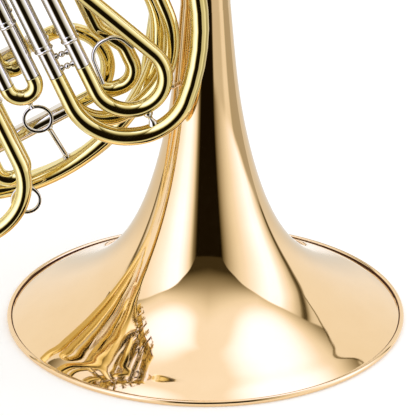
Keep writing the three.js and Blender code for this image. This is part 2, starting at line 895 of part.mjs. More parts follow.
function cap(index) {
  const inner = casing_radius - casing_wall - seat_gap;
  const shape = turned([
    [0, 0], [inner, 0], [inner, plate_thickness], [casing_radius, plate_thickness],
    [casing_radius, plate_thickness + cap_height / 2], [0, plate_thickness + cap_height],
  ], valve_sides);
  const x = index * valve_pitch;
  const from = casing_front + casing_length - plate_thickness + seat_gap;
  return laid(shape, vector(x, from, 0), vector(x, 0, 0));
}

function stopArm(index, side) {
  const hole = spindle_radius + seat_gap;
  const x = side * stop_radius * Math.SQRT1_2;
  const z = -stop_radius * Math.SQRT1_2;
  const hub = turned([[hole, 0], [stop_hub_radius, 0], [stop_hub_radius, stop_thickness],
    [hole, stop_thickness], [hole, 0]], tube_sides);
  const face = casing_front - stop_gap;
  const centre = index * valve_pitch;
  laid(hub, vector(centre, face, 0), vector(centre, face - stop_thickness, 0));
  const pad = rod(vector(centre + x, face, z), vector(centre + x, face - stop_thickness, z),
    pin_radius * 2, fine_sides);
  const pin = rod(vector(centre + x, face - stop_thickness / 2, z),
    vector(centre + x, face - stop_thickness - pin_height, z), pin_radius, fine_sides);
  return join([hub, pad, pin]);
}

const half_stroke = THREE.MathUtils.degToRad(lever_stroke / 2);
const tip_drop = short_arm * Math.sin(half_stroke);
const tip_depth = hinge_depth - short_arm * Math.cos(half_stroke);

function leverPlace(share) {
  return share * valve_pitch;
}

function ballPlace(share, side) {
  return leverPlace(share) + side * (lever_width / 2 + seat_gap + link_ball_radius);
}

function bar(from, to, width, thickness) {
  const length = from.distanceTo(to);
  const box = new THREE.BoxGeometry(width, thickness, length).translate(0, 0, length / 2);
  return laid(box, from, to);
}

function lever(share, reach) {
  const x = leverPlace(share);
  const hub_length = lever_pitch - rack_thickness - 2 * seat_gap;
  const hinge = (u) => vector(u, hinge_depth, hinge_rise);
  const tip = vector(x, tip_depth, hinge_rise - tip_drop);
  const hub = rod(hinge(x - hub_length / 2), hinge(x + hub_length / 2), hub_radius, fine_sides);
  const arm = new THREE.Shape();
  const lift = lever_thickness * 2;
  arm.moveTo(0, -lever_thickness / 2);
  arm.quadraticCurveTo(reach * 0.55, -lever_thickness * 1.5, reach, lift - lever_thickness / 2);
  arm.lineTo(reach, lift + lever_thickness / 2);
  arm.quadraticCurveTo(reach * 0.55, -lever_thickness / 2, 0, lever_thickness / 2);
  const long_arm = new THREE.ExtrudeGeometry(arm, {
    depth: lever_width, bevelEnabled: false, curveSegments: curve_steps,
  });
  const upright = new THREE.Matrix4();
  upright.makeBasis(vector(0, 0, 1), vector(0, -1, 0), vector(1, 0, 0));
  long_arm.applyMatrix4(upright).translate(x - lever_width / 2, hinge_depth, hinge_rise);
  const pad = new THREE.Shape();
  const corner_radius = paddle_width / 2;
  pad.moveTo(-paddle_width / 2, 0);
  pad.lineTo(-paddle_width / 2, paddle_length - corner_radius);
  pad.absarc(0, paddle_length - corner_radius, corner_radius, Math.PI, 0, true);
  pad.lineTo(paddle_width / 2, 0);
  pad.absarc(0, 0, corner_radius, 0, -Math.PI, true);
  const paddle = new THREE.ExtrudeGeometry(pad, {
    depth: lever_thickness, bevelEnabled: false, curveSegments: curve_steps,
  });
  paddle.rotateX(Math.PI / 2);
  paddle.translate(x, hinge_depth - lift + lever_thickness / 2, hinge_rise + reach - corner_radius);
  const short = bar(hinge(x), tip, lever_width, lever_thickness);
  const across = vector(lever_width / 2, 0, 0);
  const end = rod(tip.clone().sub(across), tip.clone().add(across), link_ball_radius, fine_sides);
  const hole = rod(hinge(x - lever_pitch), hinge(x + lever_pitch), hinge_rod_radius + seat_gap,
    fine_sides);
  return cut(join([hub, long_arm, paddle, short, end]), [hole]);
}

function linkRod(index, side, share, ball) {
  const reach = stop_radius * Math.SQRT1_2;
  const from = vector(index * valve_pitch + side * reach, tip_depth, -reach);
  const to = vector(ballPlace(share, ball), tip_depth, hinge_rise - tip_drop);
  const length = from.distanceTo(to);
  const r = link_ball_radius;
  const neck = Math.sqrt(r * r - link_rod_radius * link_rod_radius);
  return laid(turned([
    [0, -r], [r * 0.7, -r * 0.7], [r, 0], [link_rod_radius, neck],
    [link_rod_radius, length - neck], [r, length], [r * 0.7, length + r * 0.7], [0, length + r],
  ], fine_sides), from, to);
}

// Rack: a plate on the casings, with ears that hold the hinge rod
const rack_overhang = 4;
const ear_places = [-35, -13, 7, 29, 51, 73];

function rack() {
  const left = -valve_pitch - rack_overhang;
  const right = 2 * valve_pitch + rack_overhang;
  const low = casing_radius + seat_gap;
  const high = hinge_rise + ear_radius;
  const plate = new THREE.BoxGeometry(right - left, rack_thickness, high - low)
    .translate((left + right) / 2, rack_depth - rack_thickness / 2, (low + high) / 2);
  const ears = ear_places.flatMap((x) => {
    const reach = rack_depth - hinge_depth;
    const arm = new THREE.BoxGeometry(rack_thickness, reach, 2 * ear_radius)
      .translate(x, hinge_depth + reach / 2, hinge_rise);
    const eye = rod(vector(x - rack_thickness / 2, hinge_depth, hinge_rise),
      vector(x + rack_thickness / 2, hinge_depth, hinge_rise), ear_radius, fine_sides);
    return [arm, eye];
  });
  const hole = rod(vector(left, hinge_depth, hinge_rise), vector(right, hinge_depth, hinge_rise),
    hinge_rod_radius + seat_gap, fine_sides);
  return cut(join([plate, ...ears]), [hole]);
}

function hingeRod() {
  const head = hinge_rod_radius * 1.5;
  const first = ear_places[0] - rack_thickness / 2 - seat_gap;
  const last = ear_places[ear_places.length - 1] + rack_thickness / 2 + seat_gap;
  const length = last - first + 2 * rack_thickness;
  const shape = turned([
    [0, 0], [head, 0], [head, rack_thickness], [hinge_rod_radius, rack_thickness],
    [hinge_rod_radius, length - rack_thickness], [head, length - rack_thickness],
    [head, length], [0, length],
  ], fine_sides);
  const start = first - rack_thickness;
  return laid(shape, vector(start, hinge_depth, hinge_rise), vector(last, hinge_depth, hinge_rise));
}

// Braces: a rod between two tubes with a foot seated on each
function brace(from, to, near, far, spaces) {
  const length = from.distanceTo(to);
  const first = near + foot_height;
  const last = length - far - foot_height;
  const neck = Math.min(foot_height, (last - first) / 4);
  const shape = turned([
    [0, 0], [foot_radius, 0], [foot_radius, first], [brace_radius, first + neck],
    [brace_radius, last - neck], [foot_radius, last], [foot_radius, length], [0, length],
  ], fine_sides);
  return cut(laid(shape, from, to), spaces);
}

function pipeBrace() {
  const from = onRing(pipe_cross_angle, ring_offset, 0);
  const spaces = [space(tailLine(), tail_radii, tail_sides), space(pipeLine(), pipe_radii)];
  const tail = tail_radii(pipe_cross_angle / tail_end_angle);
  return brace(from, pipeCrossing(), tail, pipe_end_radius, spaces);
}

const main_brace_place = -39.6;

function mainBrace() {
  const around = feedLine().map((point) => main.worldToLocal(point));
  const [below] = crossings(around, 'x', main_brace_place).sort((a, b) => a.z - b.z);
  const above = vector(main_brace_place, 0, -main_spacing / 2);
  const sleeve = main_leg_radius + slide_gap + tube_wall;
  const leg = rod(main.localToWorld(vector(main_legs_start, 0, -main_spacing / 2)),
    main.localToWorld(vector(0, 0, -main_spacing / 2)), sleeve + seat_gap);
  const spaces = [leg, space(feedLine(), wrap_tube_radius)];
  return brace(main.localToWorld(above), main.localToWorld(below), sleeve, wrap_tube_radius, spaces);
}

// Bell brace: level, from the feed tube to the bell
const bell_brace_drop = 68;
const bell_brace_reach = 13.8;

function bellSpace() {
  const flare = flare_shares.map(([rise, reach]) => (
    [reach * mouth_radius + seat_gap, rise * bell_height]));
  const [first] = flare;
  return turned([[0, first[1]], ...flare, [throat_radius + seat_gap, bell_height],
    [0, bell_height]], bell_sides);
}

function bellBrace() {
  const beside = crossings(feedLine(), 'z', ring_height - bell_brace_drop);
  const [from] = beside.sort((a, b) => b.x - a.x);
  const to = vector(-bell_brace_reach, 0, from.z);
  const spaces = [space(feedLine(), wrap_tube_radius), bellSpace()];
  return brace(from, to, wrap_tube_radius, bell_brace_reach, spaces);
}

// Hook for the little finger, on the tail
const hook_angle = 150;
const hook_radius = 2.4;
const hook_rise = 48;
const hook_reach = 26;
const hook_bend = 12;

function fingerHook() {
  const line = route([
    corner(onRing(hook_angle, ring_offset, 0), 0),
    corner(onRing(hook_angle, ring_offset, -hook_rise), hook_bend),
    corner(onRing(hook_angle, ring_offset - hook_reach, -hook_rise), hook_bend),
    corner(onRing(hook_angle, ring_offset - hook_reach, -hook_rise + hook_bend * 1.5), 0),
  ]);
  return cut(wire(line, hook_radius, fine_sides), [space(tailLine(), tail_radii, tail_sides)]);
}

place(horn, 'bell', bell(), rose);
place(horn, 'bell_tail', tube(tailLine(), tail_radii, tail_sides, bell_wall), brass);
place(horn, 'first_branch', firstBranch(), brass);
place(horn, 'feed_tube', feedTube(), brass);
place(horn, 'mouthpipe', tube(pipeLine(), pipe_radii), brass);
place(horn, 'mouthpiece_receiver', receiver(), nickel);

const bflat2_centre = valve_pitch + bflat2_shift;
const f3_centre = 2 * valve_pitch;
const bflat3_centre = f3_centre + bflat3_shift;
pairSleeves('sleeves_f1', 0, 0, f1_end, front_layer);
pairSleeves('sleeves_f2', valve_pitch, 1, f2_end, front_layer);
pairSleeves('sleeves_f3', f3_centre, 2, f3_end, front_layer);
pairSleeves('sleeves_bflat1', bflat1_centre, 0, bflat1_end, middle_layer);
pairSleeves('sleeves_bflat2', bflat2_centre, 1, bflat2_end, middle_layer);
pairSleeves('sleeves_bflat3', bflat3_centre, 2, bflat3_end, middle_layer);

place(slides, 'slide_f1', slideF1(), brass);
place(slides, 'slide_f2', uSlide(valve_pitch, f2_drop, front_layer), brass);
place(slides, 'slide_f3_legs', slideF3Legs(f3_centre), nickel);
place(slides, 'slide_f3_loop', tube(loopLine(f3_centre), loop_radii), brass);
place(slides, 'pull_wire_f3', pullWire(f3_centre), nickel);
place(slides, 'loop_brace_f3', loopBrace(f3_centre), nickel);
place(slides, 'slide_bflat1', uSlide(bflat1_centre, bflat1_drop, middle_layer), brass);
place(slides, 'slide_bflat2', uSlide(bflat2_centre, bflat2_drop, middle_layer), brass);
place(slides, 'slide_bflat3', slideBFlat3(bflat3_centre), brass);
place(slides, 'finger_ring_f2', fingerRing(valve_pitch, front_layer, f2_drop), nickel);
place(slides, 'finger_ring_bflat1', fingerRing(bflat1_centre, middle_layer, bflat1_drop), nickel);

place(main, 'sleeves_main', mainSleeves(), nickel);
place(main, 'slide_main', mainSlide(), brass);

valve_names.forEach((name, i) => {
  const index = i - 1;
  place(row, `casing_${name}`, casing(index, i + 1 < valve_names.length), brass);
  place(row, `rotor_${name}`, rotor(index), brass);
  place(row, `cap_${name}`, cap(index), nickel);
  place(row, `stop_arm_${name}`, stopArm(index, pin_sides[i]), nickel);
  const reach = i === 0 ? thumb_reach : lever_reach;
  place(row, `lever_${name}`, lever(lever_shares[i], reach), nickel);
  const link = linkRod(index, pin_sides[i], lever_shares[i], ball_sides[i]);
  place(row, `link_${name}`, link, nickel);
});
place(row, 'lever_rack', rack(), brass);
place(row, 'hinge_rod', hingeRod(), nickel);

place(horn, 'pipe_brace', pipeBrace(), nickel);
place(horn, 'main_brace', mainBrace(), nickel);
place(horn, 'bell_brace', bellBrace(), nickel);
place(horn, 'finger_hook', fingerHook(), nickel);

// Origin at the middle of the footprint, at rim height
horn.updateMatrixWorld(true);
const box = new THREE.Box3().setFromObject(horn, true);
const centre = box.getCenter(vector(0, 0, 0));
horn.position.set(-centre.x, -centre.y, -box.min.z);

export default horn;
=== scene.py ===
import math

import bpy
from mathutils import Matrix, Vector


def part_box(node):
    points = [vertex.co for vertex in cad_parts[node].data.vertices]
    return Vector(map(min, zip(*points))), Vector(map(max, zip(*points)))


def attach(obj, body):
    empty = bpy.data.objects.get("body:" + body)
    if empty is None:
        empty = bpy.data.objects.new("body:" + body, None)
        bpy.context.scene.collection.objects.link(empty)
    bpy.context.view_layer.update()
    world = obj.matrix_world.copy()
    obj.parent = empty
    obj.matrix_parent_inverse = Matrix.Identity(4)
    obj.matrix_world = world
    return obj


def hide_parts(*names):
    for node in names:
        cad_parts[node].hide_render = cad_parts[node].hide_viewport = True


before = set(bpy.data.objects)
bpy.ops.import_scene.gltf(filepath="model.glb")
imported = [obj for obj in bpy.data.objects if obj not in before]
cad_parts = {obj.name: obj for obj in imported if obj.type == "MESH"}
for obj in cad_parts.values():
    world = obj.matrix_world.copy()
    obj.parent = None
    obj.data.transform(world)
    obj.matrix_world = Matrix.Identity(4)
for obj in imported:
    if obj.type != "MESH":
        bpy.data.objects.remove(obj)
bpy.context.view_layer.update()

MM = 0.001
bell_lo, bell_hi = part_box("bell")
BELL_X = (bell_lo[0] + bell_hi[0]) / 2 / MM
BELL_HEIGHT = bell_hi[2] / MM
MOUTH_RADIUS = (bell_hi[0] - bell_lo[0]) / 2 / MM

# Layout, as in the solids, with x from the bell axis and z above the rim
RING_OFFSET = 193
RING_HEIGHT = 275
WRAP_RADIUS = 163
VALVE_PITCH = 40
LEG_SPACING = 22.5
ROW_LEFT = 227.5
ROW_HEIGHT = 317.1
ROW_TILT = 23.8
MAIN_TILT = 30
MAIN_SPACING = 63
MAIN_LEFT = 108.2
MAIN_HEIGHT = 223.3
MAIN_HIGH_TOP = -105
MAIN_LOW_TOP = -93
MAIN_MOUTH = -14
MAIN_LEG_TOP = -78
FRONT = -48
MIDDLE = -31
MAIN_LAYER = -5
SIDE_LAYER = -16
BRANCH_LAYER = 10
PIPE_LAYER = -23

# Tubes
THROAT_RADIUS = 19.75
BELL_WALL = 0.8
LEG = 6.3
SLEEVE = 7
WALL = 0.6
SLIDE_GAP = 0.35
SEAT_GAP = 0.3
LOOP = 7.1
MAIN_LEG = 5.7
MAIN_BOW = 6
WRAP_TUBE = 6.9
BRANCH_START = 9.2
TAIL_END = 9.5
PIPE_END = 5.2
PIPE_MOUTH = 4
TUBE_SIDES = 32
BELL_SIDES = 192
BEND_STEP = 5

# Valves and levers
CASING_RADIUS = 18
CASING_FRONT = -66
CASING_LENGTH = 50
HINGE_RISE = 46
HINGE_DEPTH = -50
HINGE_ROD = 2.4
SHORT_ARM = 25
STROKE = 25
STOP_RADIUS = 7.65
LEVER_REACH = 62
THUMB_REACH = 46
EAR = 3
EAR_PITCH = 22


# Frames of reference
def moved(x, y, z):
    return Matrix.Translation((x, y, z))


HORN = moved(BELL_X, 0, 0)
ROW = HORN @ moved(-ROW_LEFT, 0, ROW_HEIGHT) @ Matrix.Rotation(-math.radians(ROW_TILT), 4, "Y")
MAIN = (HORN @ moved(-MAIN_LEFT, MAIN_LAYER, MAIN_HEIGHT)
        @ Matrix.Rotation(-math.radians(MAIN_TILT), 4, "Y"))


def on_ring(degrees, distance, depth):
    """A point on the wrap, from the bell axis."""
    angle = math.radians(degrees)
    return Vector((-RING_OFFSET + distance * math.cos(angle), depth,
                   RING_HEIGHT + distance * math.sin(angle)))


def from_row(x, y, z):
    """A point of the valve row, from the bell axis."""
    return HORN.inverted() @ ROW @ Vector((x, y, z))


def from_main(x, z, y=0):
    """A point of the main slide, from the bell axis."""
    return HORN.inverted() @ MAIN @ Vector((x, y, z))


def to_main(point):
    """The other way round."""
    return MAIN.inverted() @ HORN @ point


# Materials
def node(tree, kind, **values):
    made = tree.nodes.new(kind)
    for key, value in values.items():
        setattr(made, key, value)
    return made


def metal(name, colour, worn, roughness, grain=0.02, coat=0.25):
    """Polished, lacquered metal, with a faint cloudy tone, uneven gloss and soft waves."""
    made = bpy.data.materials.new(name)
    made.use_nodes = True
    tree = made.node_tree
    shader = tree.nodes["Principled BSDF"]
    shader.inputs["Metallic"].default_value = 1
    shader.inputs["Coat Weight"].default_value = coat
    shader.inputs["Coat Roughness"].default_value = 0.02
    place = node(tree, "ShaderNodeTexCoord").outputs["Object"]

    def noise(scale, detail):
        made_noise = node(tree, "ShaderNodeTexNoise")
        made_noise.inputs["Scale"].default_value = scale
        made_noise.inputs["Detail"].default_value = detail
        tree.links.new(place, made_noise.inputs["Vector"])
        return made_noise.outputs["Fac"]

    def spread(source, start, end):
        spread_node = node(tree, "ShaderNodeMapRange")
        spread_node.inputs["From Min"].default_value = 0.3
        spread_node.inputs["From Max"].default_value = 0.7
        spread_node.inputs["To Min"].default_value = start
        spread_node.inputs["To Max"].default_value = end
        tree.links.new(source, spread_node.inputs["Value"])
        return spread_node.outputs["Result"]

    tone = node(tree, "ShaderNodeMix", data_type="RGBA")
    tone.inputs["A"].default_value = (*colour, 1)
    tone.inputs["B"].default_value = (*worn, 1)
    tree.links.new(spread(noise(38, 4), 0, 1), tone.inputs["Factor"])
    tree.links.new(tone.outputs["Result"], shader.inputs["Base Color"])
    tree.links.new(spread(noise(160, 6), roughness * 0.6, roughness * 1.4),
                   shader.inputs["Roughness"])
    bump = node(tree, "ShaderNodeBump")
    bump.inputs["Strength"].default_value = grain
    bump.inputs["Distance"].default_value = 0.0002
    tree.links.new(noise(90, 2), bump.inputs["Height"])
    tree.links.new(bump.outputs["Normal"], shader.inputs["Normal"])
    return made


gold = metal("gold_brass", (0.90, 0.645, 0.36), (0.88, 0.62, 0.335), 0.035, 0.012)
brass = metal("yellow_brass", (0.88, 0.735, 0.33), (0.85, 0.69, 0.27), 0.05)
nickel = metal("nickel_silver", (0.81, 0.75, 0.65), (0.75, 0.685, 0.575), 0.06)
# Painted shade: near-black brass for a thin ring in the bell's rim groove, standing in for the dark
# line of shade and reflection there.
groove_shade = metal("painted_groove_shade", (0.085, 0.026, 0.005), (0.06, 0.018, 0.004), 0.5,
                coat=0)


# Shapes and the pieces made of them
class Shape:
    """Points and faces in millimetres, that can be joined and placed."""

    def __init__(self):
        self.points = []
        self.faces = []

    def add(self, points, faces):
        start = len(self.points)
        self.points += points
        self.faces += [tuple(start + i for i in face) for face in faces]
        return self

    def join(self, *others):
        for other in others:
            self.add(other.points, other.faces)
        return self

    def placed(self, matrix):
        self.points = [matrix @ p for p in self.points]
        return self


def piece(name, shape, material, body, *nodes, at=HORN, bevel=0):
    """Makes the mesh, in metres, and sets it on its body in place of the nodes."""
    mesh = bpy.data.meshes.new(name)
    mesh.from_pydata([at @ p * MM for p in shape.points], [], shape.faces)
    mesh.validate()
    mesh.shade_smooth()
    mesh.set_sharp_from_angle(angle=math.radians(38))
    made = bpy.data.objects.new(name, mesh)
    bpy.context.scene.collection.objects.link(made)
    mesh.materials.append(material)
    if bevel:
        edge = made.modifiers.new("edge", "BEVEL")
        edge.width = bevel * MM
        edge.segments = 2
        edge.limit_method = "ANGLE"
        edge.angle_limit = math.radians(38)
        edge.harden_normals = True
    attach(made, body)
    if nodes:
        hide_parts(*nodes)
    return made


def route(corners, step=BEND_STEP):
    """A centreline through corners (point, bend radius), each rounded by an arc."""
    points = [Vector(c[0]) for c in corners]
    needs = [0.0] * len(points)
    turns = [0.0] * len(points)
    for i in range(1, len(points) - 1):
        before = (points[i] - points[i - 1]).normalized()
        after = (points[i + 1] - points[i]).normalized()
        turns[i] = before.angle(after)
        needs[i] = corners[i][1] * math.tan(turns[i] / 2)
    shrink = [1.0] * len(points)
    for i in range(1, len(points)):
        room = (points[i] - points[i - 1]).length
        ratio = min(1.0, room / max(needs[i] + needs[i - 1], room))
        shrink[i] = min(shrink[i], ratio)
        shrink[i - 1] = min(shrink[i - 1], ratio)
    line = [points[0]]
    for i in range(1, len(points) - 1):
        before = (points[i] - points[i - 1]).normalized()
        after = (points[i + 1] - points[i]).normalized()
        reach = needs[i] * shrink[i]
        radius = reach / math.tan(turns[i] / 2)
        centre = points[i] + (after - before).normalized() * radius / math.cos(turns[i] / 2)
        start = points[i] - before * reach - centre
        axis = before.cross(after).normalized()
        steps = max(1, math.ceil(math.degrees(turns[i]) / step))
        for k in range(steps + 1):
            spot = centre + Matrix.Rotation(turns[i] * k / steps, 3, axis) @ start
            if (spot - line[-1]).length > SEAT_GAP:
                line.append(spot)
    if (points[-1] - line[-1]).length <= SEAT_GAP:
        line.pop()
    line.append(points[-1])
    return line


def frames_along(line):
    """Point, side and up at each point, carried along without twist."""
    tangents = []
    for i, point in enumerate(line):
        back = (point - line[max(i - 1, 0)]).normalized()
        ahead = (line[min(i + 1, len(line) - 1)] - point).normalized()
        tangents.append((back + ahead).normalized())
    start = Vector((0, 1, 0)) if abs(tangents[0].y) < 0.7 else Vector((1, 0, 0))
    side = start - tangents[0] * start.dot(tangents[0])
    found = []
    for i, point in enumerate(line):
        if i:
            side = tangents[i - 1].rotation_difference(tangents[i]) @ side
        side = (side - tangents[i] * side.dot(tangents[i])).normalized()
        found.append((point, side, tangents[i].cross(side)))
    return found


def crossings(line, axis, value):
    """The points where a line passes a value of x, y or z."""
    found = []
    for a, b in zip(line, line[1:]):
        if (a[axis] - value) * (b[axis] - value) < 0:
            found.append(a.lerp(b, (value - a[axis]) / (b[axis] - a[axis])))
    return found


def lengths_along(line):
    total = [0.0]
    for a, b in zip(line, line[1:]):
        total.append(total[-1] + (b - a).length)
    return total


def radii_along(line, radius):
    lengths = lengths_along(line)
    if callable(radius):
        return [radius(length / lengths[-1]) for length in lengths]
    return [radius] * len(line)


def taper(*rows):
    """A run between radii at given shares of the length."""
    def at(share):
        for (a, start), (b, end) in zip(rows, rows[1:]):
            if share <= b:
                return start + (end - start) * max(0.0, share - a) / (b - a)
        return rows[-1][1]
    return at


def skin(rings, closed):
    """Faces between rings of points, each ring the same size."""
    count = len(rings[0])
    pairs = list(zip(range(len(rings)), range(1, len(rings))))
    if closed:
        pairs.append((len(rings) - 1, 0))
    return Shape().add(
        [p for ring in rings for p in ring],
        [(a * count + k, a * count + (k + 1) % count, b * count + (k + 1) % count, b * count + k)
         for a, b in pairs for k in range(count)])


def rings_round(line, radius, sides):
    """The radii along a line, and a function for the ring of points at any of its points."""
    frames = frames_along(line)
    turn = [(math.cos(2 * math.pi * k / sides), math.sin(2 * math.pi * k / sides))
            for k in range(sides)]

    def ring(index, size, shift=0.0):
        point, side, up = frames[index]
        ahead = side.cross(up)
        return [point + side * size * c + up * size * s + ahead * shift for c, s in turn]

    return radii_along(line, radius), ring


def tube(line, radius, wall=WALL, sides=TUBE_SIDES):
    """A bent tube with a bore and rounded lips."""
    radii, ring = rings_round(line, radius, sides)
    lip = wall * 0.3
    last = len(line) - 1
    outer = [ring(i, radii[i]) for i in range(1, last)]
    inner = [ring(i, radii[i] - wall) for i in range(last - 1, 0, -1)]
    start = [ring(0, radii[0] - wall, lip), ring(0, radii[0] - wall + lip),
             ring(0, radii[0] - lip), ring(0, radii[0], lip)]
    end = [ring(last, radii[last], -lip), ring(last, radii[last] - lip),
           ring(last, radii[last] - wall + lip), ring(last, radii[last] - wall, -lip)]
    return skin(start + outer + end + inner, True)


def rod(line, radius, sides=20):
    """A bent solid wire with domed ends."""
    radii, ring = rings_round(line, radius, sides)
    last = len(line) - 1
    rings = [ring(0, radii[0] * 0.6), ring(0, radii[0], radii[0] * 0.4)]
    rings += [ring(i, radii[i]) for i in range(1, last)]
    rings += [ring(last, radii[last], -radii[last] * 0.4), ring(last, radii[last] * 0.6)]
    shape = skin(rings, False)
    count = len(shape.points)
    shape.faces.append(tuple(range(sides))[::-1])
    shape.faces.append(tuple(range(count - sides, count)))
    return shape


def turned(profile, sides=48):
    """A piece turned about z from its profile (radius, height)."""
    rings = [[Vector((r * math.cos(2 * math.pi * k / sides), r * math.sin(2 * math.pi * k / sides),
                      z)) for k in range(sides)] for r, z in profile if r > 0]
    shape = skin(rings, profile[0][0] > 0 and profile[0] == profile[-1])
    count = len(shape.points)
    if profile[0][0] == 0:
        shape.faces.append(tuple(range(sides))[::-1])
    if profile[-1][0] == 0:
        shape.faces.append(tuple(range(count - sides, count)))
    return shape


def laid(shape, start, end):
    """A piece turned about z, laid from one point towards another."""
    along = (Vector(end) - Vector(start)).normalized()
    turn = Vector((0, 0, 1)).rotation_difference(along).to_matrix().to_4x4()
    return shape.placed(moved(*start) @ turn)


def bar(start, end, radius, sides=24):
    length = (Vector(end) - Vector(start)).length
    return laid(turned([(0, 0), (radius, 0), (radius, length), (0, length)], sides), start, end)


def bead(height, radius, rise, width, steps=6):
    """Profile points of a half-round ring standing on a radius."""
    return [(radius + rise * math.sin(math.pi * k / steps),
             height + width * k / steps) for k in range(steps + 1)]


# Bell
BEAD = 1.9
RIM_HEIGHT = 5
SHEET_EDGE = 3.2
SHEET_INSET = 0.4
GROOVE_INSET = 0.55
GROOVE_RISE = 0.16
GROOVE_PROUD = 0.06
# Height over the rim and reach from the axis, as shares of the bell's height and its radius
FLARE_SHARES = [
    (0.0326, 0.9108), (0.0543, 0.8348), (0.0797, 0.7534), (0.1087, 0.6707), (0.1399, 0.5945),
    (0.1703, 0.5326), (0.2065, 0.4724), (0.2431, 0.4235), (0.279, 0.3846), (0.3188, 0.349),
    (0.3623, 0.3168), (0.4094, 0.2874), (0.4674, 0.257), (0.5326, 0.2285), (0.6051, 0.2018),
    (0.6812, 0.1794), (0.7681, 0.1602), (0.8696, 0.1438),
]


def smooth_through(points, steps):
    """A curve through points, with rounded steps between them."""
    found = []
    for i in range(len(points) - 1):
        a, b = points[max(i - 1, 0)], points[i]
        c, d = points[i + 1], points[min(i + 2, len(points) - 1)]
        for k in range(steps):
            t = k / steps
            found.append(tuple(
                0.5 * (2 * b[j] + (c[j] - a[j]) * t + (2 * a[j] - 5 * b[j] + 4 * c[j] - d[j]) * t * t
                       + (3 * b[j] - a[j] - 3 * c[j] + d[j]) * t ** 3) for j in (0, 1)))
    found.append(points[-1])
    return found


def make_bell():
    """The flared sheet with its rolled rim, and a near-black ring of painted shade in the groove
    where the roll meets the sheet.
    """
    neck = MOUTH_RADIUS - 2 * BEAD
    flare = [(neck - SHEET_INSET, SHEET_EDGE)]
    flare += [(reach * MOUTH_RADIUS, rise * BELL_HEIGHT) for rise, reach in FLARE_SHARES]
    flare.append((THROAT_RADIUS, BELL_HEIGHT))
    outside = smooth_through(flare, 6)
    inside = []
    for i, (r, z) in enumerate(outside):
        r0, z0 = outside[max(i - 1, 0)]
        r1, z1 = outside[min(i + 1, len(outside) - 1)]
        slope = math.hypot(r1 - r0, z1 - z0)
        inside.append((r - BELL_WALL * (z1 - z0) / slope, z + BELL_WALL * (r1 - r0) / slope))

    def on_roll(degrees, proud=0.0):
        angle = math.radians(degrees)
        half = RIM_HEIGHT / 2
        return (MOUTH_RADIUS - BEAD + (BEAD + proud) * math.cos(angle),
                half + (half + proud) * math.sin(angle))

    steps = 16
    roll = [on_roll(340 * k / steps - 168) for k in range(steps + 1)]
    sheet = turned([*outside, *reversed(inside), *roll, outside[0]], BELL_SIDES)
    piece("bell_flare", sheet, gold, "horn", "bell")
    # Painted shade: a thin dark ring laid in the groove between the roll and the sheet.
    groove = [(neck - GROOVE_INSET, SHEET_EDGE + GROOVE_RISE * 0.75),
              (neck - 0.1, SHEET_EDGE + GROOVE_RISE),
              on_roll(155, GROOVE_PROUD), on_roll(144, GROOVE_PROUD),
              (neck + 0.9, SHEET_EDGE + 0.3), (neck - 0.3, SHEET_EDGE - 0.3)]
    piece("rim_groove", turned([*groove, groove[0]], BELL_SIDES), groove_shade, "horn", "bell")


# Wrap: the tail, the branches and the mouthpipe
TAIL_END_ANGLE = 203
TAIL_RADII = taper((0, THROAT_RADIUS), (0.45, THROAT_RADIUS * 0.72), (1, TAIL_END))


def ring_line(rows, step=3):
    """A line round the wrap, through rows of angle, distance and depth."""
    line = []
    for (start, near, front), (end, far, back) in zip(rows, rows[1:]):
        steps = max(1, round((end - start) / step))
        for k in range(steps):
            share = k / steps
            smooth = share * share * (3 - 2 * share)
            line.append(on_ring(start + (end - start) * share, near + (far - near) * smooth,
                                front + (back - front) * smooth))
    line.append(on_ring(*rows[-1]))
    return line


def make_tail():
    line = ring_line([(0, RING_OFFSET, 0), (TAIL_END_ANGLE, RING_OFFSET, 0)])
    shape = tube(line, TAIL_RADII, BELL_WALL, BELL_SIDES // 2)
    piece("tail_bow", shape, gold, "horn", "bell_tail")


def branch_line():
    side = WRAP_RADIUS * 0.965
    sunk = WRAP_RADIUS + 4.5
    low = ring_line([(TAIL_END_ANGLE + 0.1, RING_OFFSET, 0), (262, sunk, BRANCH_LAYER),
                     (309, sunk, BRANCH_LAYER), (335, WRAP_RADIUS, BRANCH_LAYER)])
    high = route([
        (low[-1], 0),
        ((-RING_OFFSET + side, BRANCH_LAYER, RING_HEIGHT), WRAP_RADIUS),
        (from_row(187, BRANCH_LAYER, -45), 50),
        (from_row(-80, BRANCH_LAYER, -45), 25),
        (from_row(-80, MIDDLE, 0), 25),
        (from_row(-VALVE_PITCH - CASING_RADIUS + 1, MIDDLE, 0), 0),
    ])
    return low + high[1:]


def feed_line():
    leg = -MAIN_SPACING / 2
    below = on_ring(281, WRAP_RADIUS, MAIN_LAYER)
    turn = 19
    bend = route([
        (from_main(MAIN_LOW_TOP - SEAT_GAP, leg), 0),
        (from_main(MAIN_LOW_TOP - turn * 1.25, leg), turn),
        ((-RING_OFFSET + turn * 0.2, MAIN_LAYER, below.z - turn * 0.2), turn),
        (below, 0),
    ])
    near = WRAP_RADIUS - 3.5
    low = ring_line([(281, WRAP_RADIUS, MAIN_LAYER), (318, near, (MAIN_LAYER + SIDE_LAYER) / 2),
                     (348, near, SIDE_LAYER)])
    end = low[-1]
    high = route([
        (end, 0),
        ((end.x + 1, SIDE_LAYER, RING_HEIGHT + 12), 60),
        (from_row(VALVE_PITCH * 3.12, SIDE_LAYER, 7), turn),
        (from_row(VALVE_PITCH * 2 + CASING_RADIUS - 1, MIDDLE, 7), 0),
    ])
    return bend[:-1] + low + high[1:]


def pipe_line():
    cross = on_ring(164, RING_OFFSET, PIPE_LAYER)
    lean = math.radians(7)
    down = Vector((math.sin(lean), 0, -math.cos(lean)))
    leg = MAIN_SPACING / 2
    turn = 50
    top = cross - down * 150
    return route([
        (top, 0), (cross + down * 58, 110),
        (from_main(MAIN_HIGH_TOP - turn * 0.75, leg), turn),
        (from_main(MAIN_HIGH_TOP - SEAT_GAP, leg), 0),
    ]), top, down


